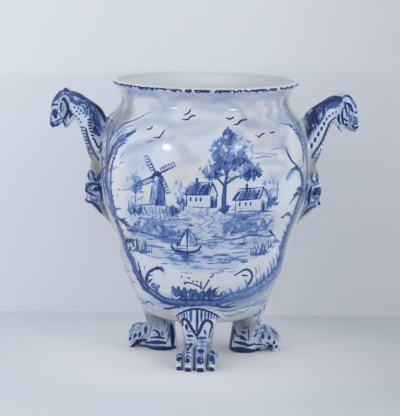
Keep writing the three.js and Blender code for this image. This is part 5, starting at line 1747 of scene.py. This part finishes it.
def paint_foot_right(draw):
    draw.soak([(48, 36), (60, 20), (76, 12), (92, 16)], 34, 0.5)
    draw.soak([(78, 30), (94, 22)], 14, 0.7)
    draw.dull([(42, 58), (50, 46), (58, 38)], 24, 1.0)
    draw.dull([(74, 41), (86, 38), (96, 32), (102, 22)], 8, 0.85)
    draw.rust([(42, 46), (48, 43), (56, 46)], 6, 0.42)
    for points, width in (
        ([(41, 32), (38.6, 20), (39, 4)], 6.4), ([(38, 3.6), (54, 3.6), (66, 2.6), (78, 2)], 7.6),
        ([(45, 14), (56, 13), (63, 10.6), (72, 12)], 4.6), ([(41, 33), (45, 27), (48, 21)], 3.4),
        ([(51, 22.6), (56, 20), (60, 17.6)], 5.4), ([(54, 28.6), (59, 27.6)], 5),
        ([(56.6, 34), (61.6, 35)], 4.4), ([(63, 35), (63, 24), (63.6, 16)], 2.2),
        ([(71, 22), (73.6, 24.6)], 3.8), ([(82, 24), (82.6, 20)], 4.8), ([(90.6, 22), (91.4, 18)], 4.6),
        ([(98, 15), (98, 11)], 4), ([(91, 7.6), (95, 4.6)], 6.4), ([(102, 8), (100, 5)], 4),
        ([(93, 33), (95, 30)], 3), ([(73, 10.6), (84, 11.4)], 2.2),
    ):
        draw.outline(points, FLANK_BOLDNESS * width, TAPERED)
    strokes(draw.mark, (
        ([(77, 40), (77, 35)], 3.4, 0.6), ([(68, 31), (69.6, 36), (76, 47), (81, 60)], 2, 0.5),
        ([(84.6, 32), (84.6, 28)], 2.4, 0.7), ([(46, 8), (56, 8), (64, 6.6)], 2.4, 0.5),
        ([(80, 34), (90, 32), (98, 25), (102, 20)], 2.4, 0.44), ([(76, 25), (86, 26), (94, 23)], 2.4, 0.44),
        ([(86, 12), (85, 6)], 2.4, 0.6), ([(88, 6), (88, 2)], 3, 0.8), ([(74, 4), (82, 5)], 3, 0.6),
        ([(43, 40), (43, 36)], 4, 0.5), ([(66, 24), (66, 20)], 2.4, 0.4),
        ([(102, 24), (102, 20)], 2.4, 0.6), ([(70, 50), (74, 54)], 3, 0.6),
        ([(72, 31), (76, 28)], 3.4, 0.6), ([(84, 31), (88, 27)], 3, 0.56),
        ([(95, 28), (99, 22)], 3.2, 0.66), ([(78, 20), (80, 15)], 3, 0.5), ([(87, 15), (92, 11)], 4, 0.62),
        ([(74, 50), (80, 62)], 2.2, 0.56), ([(43, 34), (43, 14)], 3, 0.6),
    ))


# Materials

def shade(red, green, blue):
    """Linear colour from screen values 0 to 255."""
    linear = [(v / 255 / 12.92 if v < 10 else ((v / 255 + 0.055) / 1.055) ** 2.4) for v in (red, green, blue)]
    return (*linear, 1.0)


def node(tree, kind, **values):
    made = tree.nodes.new(kind)
    for name, value in values.items():
        setattr(made, name, value)
    return made


def math_node(tree, operation, a, b, clamp=False):
    made = node(tree, "ShaderNodeMath", operation=operation, use_clamp=clamp)
    for socket, value in zip(made.inputs, (a, b)):
        if isinstance(value, (int, float)):
            socket.default_value = value
        else:
            tree.links.new(value, socket)
    return made.outputs[0]


def scaled(tree, value, factor, plus=0.0, clamp=False):
    """A value times a factor, plus a number or another value."""
    product = math_node(tree, "MULTIPLY", value, factor)
    return math_node(tree, "ADD", product, plus, clamp)


def between(tree, value, low, high):
    """Smooth step of a value from low to high."""
    made = node(tree, "ShaderNodeMapRange", interpolation_type="SMOOTHSTEP")
    tree.links.new(value, made.inputs["Value"])
    made.inputs["From Min"].default_value = low
    made.inputs["From Max"].default_value = high
    return made.outputs[0]


def noise(tree, place, scale, detail, rough):
    made = node(tree, "ShaderNodeTexNoise")
    tree.links.new(place, made.inputs["Vector"])
    made.inputs["Scale"].default_value = scale
    made.inputs["Detail"].default_value = detail
    made.inputs["Roughness"].default_value = rough
    return made.outputs["Fac"]


def mix_colour(tree, share, a, b, blend="MIX"):
    made = node(tree, "ShaderNodeMix", data_type="RGBA", blend_type=blend)
    sockets = {socket.identifier: socket for socket in made.inputs}
    for key, value in (("Factor_Float", share), ("A_Color", a), ("B_Color", b)):
        if isinstance(value, (int, float, tuple)):
            sockets[key].default_value = value
        else:
            tree.links.new(value, sockets[key])
    return next(socket for socket in made.outputs if socket.identifier == "Result_Color")


# Cobalt from the thinnest paint to the thickest, and the other colours of the glaze
COBALT = [
    (0.0, shade(204, 211, 221)), (0.12, shade(178, 193, 217)), (0.28, shade(147, 171, 209)),
    (0.46, shade(106, 137, 190)), (0.64, shade(70, 102, 163)), (0.82, shade(30, 57, 120)),
    (1.0, shade(7, 27, 80)),
]
WHITE_GLAZE = shade(209, 216, 227)
MOULDED_GLAZE = shade(207, 216, 233)
WARM_WHITE = shade(215, 211, 200)
# Painted light: the brighter white inside the mouth
INSIDE_PAINTED_LIGHT = shade(222, 228, 230)
WASH_BLUE = shade(104, 137, 192)
# Olive glaze, and painted shade towards the mouth's ends
OLIVE_GLAZE_AND_SHADE = shade(136, 138, 124)
OLIVE_OVER_PAINT_AND_SHADE = shade(104, 109, 112)
SPECK_GREY = shade(176, 182, 190)
CHIP_BROWN = shade(126, 96, 62)
# Unevenness of paint and glaze: waves to a metre, detail and roughness
RAGGED = (420, 2, 0.5)
CLOUDS = (28, 4, 0.6)
STREAKS = (170, 4, 0.65)
FINE_GRAIN = (700, 2, 0.5)
PATCHES = (16, 3, 0.55)
SPECKS = (260, 2, 0.5)
HAND_THROWN = (34, 2, 0.4)
# Where each of them, or a mark, begins and is full
BRUSH_EDGE = (0.4, 0.58)
POOLED_EDGE = (0.52, 0.66)
LINE_EDGE = (0.41, 0.56)
PATCH_EDGE = (0.4, 0.64)
SPECK_EDGE = (0.7, 0.78)
CHIP_EDGE = (0.42, 0.62)
THINNEST_PAINT = (0.0, 0.2)
# Amounts
RAGGEDNESS = 0.16
WASH_DEPTH = 1.05
WASH_CLOUDING = (0.9, 0.12)
STROKE_STREAKING = (0.9, 0.56)
INK_STREAKING = 0.34
POOLING = 0.07
WASH_UNDER_STROKES = 0.14
SPECK_STRENGTH = 0.25
OLIVE_STRENGTH = 0.44
CHIP_RAGGEDNESS = 0.8
CHIP_STRENGTH = 0.8
GLOSS = 0.11
GRAIN_DULLNESS = 0.06
PAINT_DULLNESS = 0.05
CHIP_DULLNESS = 0.4
GRAIN_HEIGHT = 0.02
PAINT_HEIGHT = 0.014
# Height of the unevenness in metres, and refraction of the glaze
BUMP = 0.00035
GLAZE_IOR = 1.5
GROUP_INPUTS = ("Wash", "Brush", "Tone", "Line", "Stain", "Olive_and_shade", "Inside", "Warmth", "Ink")


def cobalt_group():
    """Cobalt painting in the glaze: colour, roughness and height from the brush work."""
    tree = bpy.data.node_groups.new("cobalt_painting", "ShaderNodeTree")
    face = tree.interface
    for name in GROUP_INPUTS:
        face.new_socket(name, in_out="INPUT", socket_type="NodeSocketFloat")
    face.new_socket("Glaze", in_out="INPUT", socket_type="NodeSocketColor")
    face.new_socket("Color", in_out="OUTPUT", socket_type="NodeSocketColor")
    face.new_socket("Roughness", in_out="OUTPUT", socket_type="NodeSocketFloat")
    face.new_socket("Height", in_out="OUTPUT", socket_type="NodeSocketFloat")
    given = node(tree, "NodeGroupInput").outputs
    put = node(tree, "NodeGroupOutput").inputs
    place = node(tree, "ShaderNodeTexCoord").outputs["Object"]

    wobble = math_node(tree, "SUBTRACT", noise(tree, place, *RAGGED), 0.5)
    wobble = math_node(tree, "MULTIPLY", wobble, RAGGEDNESS)
    streak = noise(tree, place, *STREAKS)
    fine = noise(tree, place, *FINE_GRAIN)

    # Wash, strokes and dark lines, and the load of cobalt that they leave together
    wash = scaled(tree, noise(tree, place, *CLOUDS), *WASH_CLOUDING)
    wash = math_node(tree, "MULTIPLY", given["Wash"], wash)
    wash = math_node(tree, "MULTIPLY", wash, WASH_DEPTH, clamp=True)
    brush_field = math_node(tree, "ADD", given["Brush"], wobble)
    brush = between(tree, brush_field, *BRUSH_EDGE)
    rim = math_node(tree, "SUBTRACT", 1.0, between(tree, brush_field, *POOLED_EDGE))
    tone = math_node(tree, "MULTIPLY", given["Tone"], scaled(tree, streak, *STROKE_STREAKING))
    tone = scaled(tree, rim, POOLING, tone)
    painted = math_node(tree, "MULTIPLY", brush, tone)
    line = between(tree, math_node(tree, "ADD", given["Line"], wobble), *LINE_EDGE)
    inked = math_node(tree, "MULTIPLY", line, scaled(tree, streak, INK_STREAKING, given["Ink"]))
    load = math_node(tree, "MAXIMUM", painted, inked, clamp=True)
    load = scaled(tree, math_node(tree, "MULTIPLY", wash, brush), WASH_UNDER_STROKES, load, clamp=True)
    ramp = node(tree, "ShaderNodeValToRGB")
    tree.links.new(load, ramp.inputs["Fac"])
    stops = ramp.color_ramp.elements
    stops[0].position, stops[0].color = COBALT[0]
    stops[1].position, stops[1].color = COBALT[-1]
    for position, colour in COBALT[1:-1]:
        stops.new(position).color = colour

    # White glaze with warm patches and faint specks, made brighter inside as painted light, the paint in it,
    # olive glaze (also painted shade at the mouth's ends) and chips over it
    patch = between(tree, noise(tree, place, *PATCHES), *PATCH_EDGE)
    patch = math_node(tree, "MULTIPLY", patch, given["Warmth"])
    white = mix_colour(tree, patch, given["Glaze"], WARM_WHITE)
    white = mix_colour(tree, given["Inside"], white, INSIDE_PAINTED_LIGHT)
    white = mix_colour(tree, given["Olive_and_shade"], white, OLIVE_GLAZE_AND_SHADE)
    speck = between(tree, noise(tree, place, *SPECKS), *SPECK_EDGE)
    white = mix_colour(tree, math_node(tree, "MULTIPLY", speck, SPECK_STRENGTH), white, SPECK_GREY)
    washed = mix_colour(tree, wash, white, WASH_BLUE)
    colour = mix_colour(tree, between(tree, load, *THINNEST_PAINT), washed, ramp.outputs["Color"])
    olive = math_node(tree, "MULTIPLY", given["Olive_and_shade"], OLIVE_STRENGTH)
    colour = mix_colour(tree, olive, colour, OLIVE_OVER_PAINT_AND_SHADE)
    chip = scaled(tree, math_node(tree, "SUBTRACT", streak, 0.5), CHIP_RAGGEDNESS, given["Stain"])
    chip = between(tree, chip, *CHIP_EDGE)
    colour = mix_colour(tree, math_node(tree, "MULTIPLY", chip, CHIP_STRENGTH), colour, CHIP_BROWN)
    tree.links.new(colour, put["Color"])

    gloss = scaled(tree, fine, GRAIN_DULLNESS, GLOSS)
    gloss = scaled(tree, load, PAINT_DULLNESS, gloss)
    gloss = scaled(tree, chip, CHIP_DULLNESS, gloss)
    tree.links.new(gloss, put["Roughness"])
    height = scaled(tree, fine, GRAIN_HEIGHT, noise(tree, place, *HAND_THROWN))
    height = scaled(tree, load, PAINT_HEIGHT, height)
    tree.links.new(height, put["Height"])
    return tree


def glaze_material(name, group, white, warmth, ink):
    material = bpy.data.materials.new(name)
    material.use_nodes = True
    tree = material.node_tree
    tree.nodes.clear()
    cobalt = node(tree, "ShaderNodeGroup", node_tree=group)
    for layer, parts in (
        ("painting", {"Red": "Wash", "Green": "Brush", "Blue": "Tone"}),
        ("ageing_and_painted_light", {"Red": "Stain", "Green": "Olive_and_shade", "Blue": "Inside"}),
    ):
        attribute = node(tree, "ShaderNodeVertexColor", layer_name=layer)
        split = node(tree, "ShaderNodeSeparateColor")
        tree.links.new(attribute.outputs["Color"], split.inputs["Color"])
        for part, target in parts.items():
            tree.links.new(split.outputs[part], cobalt.inputs[target])
        if layer == "painting":
            tree.links.new(attribute.outputs["Alpha"], cobalt.inputs["Line"])
    cobalt.inputs["Glaze"].default_value = white
    cobalt.inputs["Warmth"].default_value = warmth
    cobalt.inputs["Ink"].default_value = ink
    bump = node(tree, "ShaderNodeBump")
    bump.inputs["Distance"].default_value = BUMP
    bump.inputs["Strength"].default_value = 1.0
    tree.links.new(cobalt.outputs["Height"], bump.inputs["Height"])
    shader = node(tree, "ShaderNodeBsdfPrincipled")
    shader.inputs["IOR"].default_value = GLAZE_IOR
    tree.links.new(cobalt.outputs["Color"], shader.inputs["Base Color"])
    tree.links.new(cobalt.outputs["Roughness"], shader.inputs["Roughness"])
    tree.links.new(bump.outputs["Normal"], shader.inputs["Normal"])
    output = node(tree, "ShaderNodeOutputMaterial")
    tree.links.new(shader.outputs["BSDF"], output.inputs["Surface"])
    return material


def settle(piece, node_name, slot):
    """Gives a finished piece its glaze, its body and its place in the frame."""
    piece.data.materials.clear()
    piece.data.materials.append(GLAZES[slot])
    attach(piece, "root")
    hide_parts(node_name)


# Each slot's white, warmth of its patches, and depth of its dark lines
group = cobalt_group()
GLAZES = {
    slot: glaze_material(slot, group, *settings)
    for slot, settings in {
        "bowl_glaze": (WHITE_GLAZE, 0.64, 0.72), "neck_glaze": (WHITE_GLAZE, 0.64, 0.72),
        "griffin_glaze": (MOULDED_GLAZE, 0.2, 0.76), "mask_glaze": (MOULDED_GLAZE, 0.2, 0.78),
        "foot_glaze": (MOULDED_GLAZE, 0.2, 0.78),
    }.items()
}


# The bowl and the neck share one drawing, front and back

HAND_SEED = 23

bowl = make_bowl()
neck = make_neck()
bowl_painting = body_painting(bowl)
neck_painting = body_painting(neck)
for painting in (bowl_painting, neck_painting):
    for side in (1, -1):
        draw = Turned(painting, side)
        paint_sky(draw)
        draw.chance = np.random.default_rng(HAND_SEED)
        paint_landscape(draw)
        draw.chance = np.random.default_rng(HAND_SEED + 1)
        paint_left_frame(draw)
        paint_right_frame(draw)
        paint_bottom_leaves(draw)
        paint_side_sprigs(draw)
rim_border(neck_painting, np.random.default_rng(HAND_SEED + 2))

# In the mouth the glaze is painted whiter, as painted light from above, and painted greyer and more olive
# towards its left and right ends, less so on the left, as painted shade
MIDDLE_OF_MOUTH = 20
MOUTH_SPAN = 90
LEFT_SHADE_SHARE = 0.4
END_SHADE_SHARE = 0.6
END_OLIVE_SHADE_SHARE = 0.2
neck_spots = vertices_of(neck)
below_lip = LIP_CENTRE[0] - np.hypot(neck_spots[:, 0], neck_spots[:, 1])
shade_toward_end = np.clip((np.abs(neck_spots[:, 0]) - MIDDLE_OF_MOUTH) / MOUTH_SPAN, 0, 1)
shade_toward_end *= np.where(neck_spots[:, 0] < 0, LEFT_SHADE_SHARE, 1)
unpainted = ~neck_painting.where
neck_painting.inside = np.clip(0.4 + below_lip / 3, 0, 1) * (1 - END_SHADE_SHARE * shade_toward_end) * unpainted
neck_painting.earth += END_OLIVE_SHADE_SHARE * shade_toward_end * np.clip(below_lip / 6, 0, 1) * unpainted
# The bowl's inner wall gets the same painted light
bowl_painting.inside = 1.0 * ~bowl_painting.where * (vertices_of(bowl)[:, 2] > BASE_HEIGHT + WALL)
bowl_painting.keep(bowl.data)
neck_painting.keep(neck.data)
settle(bowl, "bowl", "bowl_glaze")
settle(neck, "neck_and_rim", "neck_glaze")


# Handles

HANDLE_DRAWINGS = {
    "griffin_left": paint_griffin_left, "griffin_right": paint_griffin_right,
    "mask_left": paint_mask_left, "mask_right": paint_mask_right,
}


def sides_of(piece):
    """The side drawing of a moulded piece, on both of its sides alike."""
    spots = vertices_of(piece)
    return Painting(np.abs(spots[:, 0]), spots[:, 2])


for side, set_out in HANDLE_SET_OUT.items():
    clay = model_handle(set_out)
    turn = math.pi if side == "left" else 0.0
    for kind, above in (("griffin", True), ("mask", False)):
        name = kind + "_" + side
        piece = clay.piece(name, cut=GRIFFIN_FOOT, keep_above=above, turn=turn)
        painting = sides_of(piece)
        HANDLE_DRAWINGS[name](painting)
        painting.keep(piece.data)
        settle(piece, name, kind + "_glaze")


# Feet. The front drawing covers what faces outward or up, the side drawing the flanks

FOOT_FLANKS = {
    "foot_front": paint_foot_left, "foot_rear_left": paint_foot_left, "foot_rear_right": paint_foot_right,
}
foot_clay = model_foot()
foot_clay.refresh()
outward = foot_clay.normals[:, 0] > 0.75 * np.abs(foot_clay.normals[:, 1]) - 0.1
for name, azimuth in FOOT_TURNS.items():
    piece = foot_clay.piece(name, turn=math.radians(azimuth))
    if name == "foot_front":
        painting = Painting(foot_clay.spots[:, 0], foot_clay.spots[:, 2])
    else:
        painting = sides_of(piece)
    FOOT_FLANKS[name](painting)
    front = Painting(foot_clay.spots[:, 1], foot_clay.spots[:, 2], where=outward)
    paint_foot_front(front)
    painting.take(front)
    painting.keep(piece.data)
    settle(piece, name, "foot_glaze")


# Floor, backdrop, lights and camera

FLOOR_SIZE = (9, 9)
FLOOR_COLOUR = shade(218, 222, 228)
BACKDROP_SIZE = (6, 3)
BACKDROP_COLOUR = shade(230, 233, 238)
# The backdrop stands this far behind the axis of the vase
BACKDROP_DISTANCE = 0.27
# To the right floor and backdrop are painted darker, as painted shade, from one x to the other
PAINTED_SHADE_SPAN = (0.0, 0.34)
PAINTED_SHADE_LEVEL = 0.785
# Around the vase they are lighter, as if lit by a reflector, from one radius to the other
BOUNCE = (1.22, 1.19, 1.13, 1)
BOUNCE_SPAN = (0.1, 0.33)
STAGE_ROUGHNESS = 0.85
STAGE_SPECULAR = 0.2


def stage_material(name, colour, one_sided):
    material = bpy.data.materials.new(name)
    material.use_nodes = True
    tree = material.node_tree
    shader = tree.nodes["Principled BSDF"]
    place = node(tree, "ShaderNodeTexCoord").outputs["Object"]
    split = node(tree, "ShaderNodeSeparateXYZ")
    tree.links.new(place, split.inputs["Vector"])
    # Painted shade: floor and backdrop darker to the right
    shaded_colour = tuple(value * PAINTED_SHADE_LEVEL for value in colour[:3])
    shade_toned = mix_colour(tree, between(tree, split.outputs["X"], *PAINTED_SHADE_SPAN), colour, (*shaded_colour, 1.0))
    reach = node(tree, "ShaderNodeVectorMath", operation="LENGTH")
    tree.links.new(place, reach.inputs[0])
    away = between(tree, reach.outputs["Value"], *BOUNCE_SPAN)
    lift = mix_colour(tree, away, BOUNCE, (1, 1, 1, 1))
    tree.links.new(mix_colour(tree, 1.0, shade_toned, lift, "MULTIPLY"), shader.inputs["Base Color"])
    shader.inputs["Roughness"].default_value = STAGE_ROUGHNESS
    shader.inputs["Specular IOR Level"].default_value = STAGE_SPECULAR
    if one_sided:
        clear = node(tree, "ShaderNodeBsdfTransparent")
        choose = node(tree, "ShaderNodeMixShader")
        from_behind = node(tree, "ShaderNodeNewGeometry").outputs["Backfacing"]
        tree.links.new(from_behind, choose.inputs["Fac"])
        tree.links.new(shader.outputs["BSDF"], choose.inputs[1])
        tree.links.new(clear.outputs["BSDF"], choose.inputs[2])
        tree.links.new(choose.outputs["Shader"], tree.nodes["Material Output"].inputs["Surface"])
    return material


def stage_plane(name, size, place, turn, colour, one_sided=False):
    bm = bmesh.new()
    bmesh.ops.create_grid(bm, x_segments=1, y_segments=1, size=0.5)
    bmesh.ops.scale(bm, vec=(*size, 1), verts=bm.verts)
    bmesh.ops.rotate(bm, cent=(0, 0, 0), matrix=Matrix.Rotation(turn, 3, "X"), verts=bm.verts)
    bmesh.ops.translate(bm, vec=place, verts=bm.verts)
    plane = make_object(name, bm, smooth=False)
    plane.data.materials.append(stage_material(name, colour, one_sided))


stage_plane("floor", FLOOR_SIZE, (0, 0, 0), 0, FLOOR_COLOUR)
# The backdrop hides nothing from behind, so that the back of the vase can be seen
backdrop_place = (0, BACKDROP_DISTANCE, BACKDROP_SIZE[1] / 2)
stage_plane("backdrop", BACKDROP_SIZE, backdrop_place, math.pi / 2, BACKDROP_COLOUR, one_sided=True)


def area_light(name, place, aim_height, size, power, glossy):
    """A rectangular lamp that looks at the vase's axis."""
    lamp = bpy.data.lights.new(name, "AREA")
    lamp.shape = "RECTANGLE"
    lamp.size, lamp.size_y = size
    lamp.energy = power
    holder = bpy.data.objects.new(name, lamp)
    holder.location = place
    holder.rotation_euler = (Vector((0, 0, aim_height)) - Vector(place)).to_track_quat("-Z", "Y").to_euler()
    holder.visible_glossy = glossy
    holder.visible_camera = False
    bpy.context.collection.objects.link(holder)


# Place, height that it looks at, size, power, and whether the glaze mirrors it
LAMPS = {
    "softbox_left": ((-1.02, -1.2, 0.48), 0.28, (0.21, 0.11), 2.0, True),
    "softbox_right": ((0.95, -1.3, 0.54), 0.28, (0.24, 0.1), 2.4, True),
    "front_left_high": ((-0.9, -1.6, 1.5), 0.25, (1.2, 1.0), 5, False),
    "front_right_high": ((1.1, -1.5, 1.4), 0.25, (1.0, 1.0), 3.6, False),
    "side_left": ((-1.2, 0.05, 0.25), 0.2, (0.5, 0.5), 2.0, False),
    "side_right": ((1.2, 0.05, 0.25), 0.2, (0.5, 0.5), 2.6, False),
}
for name, settings in LAMPS.items():
    area_light(name, *settings)

WORLD_COLOUR = (0.815, 0.83, 0.86, 1)
WORLD_LEVEL = 0.81
world = bpy.data.worlds.new("studio")
bpy.context.scene.world = world
world.use_nodes = True
background = world.node_tree.nodes["Background"]
background.inputs["Color"].default_value = WORLD_COLOUR
background.inputs["Strength"].default_value = WORLD_LEVEL

# The camera looks down by a little less than nine degrees and leans by less than one
CAMERA_PLACE = (0, -3.0, 0.66)
CAMERA_DOWN = 8.758
CAMERA_LEFT = 0.094
CAMERA_LEAN = 0.88
FRAME_HEIGHT = 416
FOCAL_PIXELS = 2283.7
SENSOR = 36
camera_data = bpy.data.cameras.new("camera")
camera_data.sensor_width = SENSOR
camera_data.lens = FOCAL_PIXELS * SENSOR / FRAME_HEIGHT
camera = bpy.data.objects.new("camera", camera_data)
bpy.context.collection.objects.link(camera)
camera.matrix_world = (
    Matrix.Translation(CAMERA_PLACE)
    @ Matrix.Rotation(math.radians(CAMERA_LEFT), 4, "Z")
    @ Matrix.Rotation(math.radians(90 - CAMERA_DOWN), 4, "X")
    @ Matrix.Rotation(math.radians(CAMERA_LEAN), 4, "Z")
)
bpy.context.scene.camera = camera
bpy.context.scene.view_settings.view_transform = "Standard"
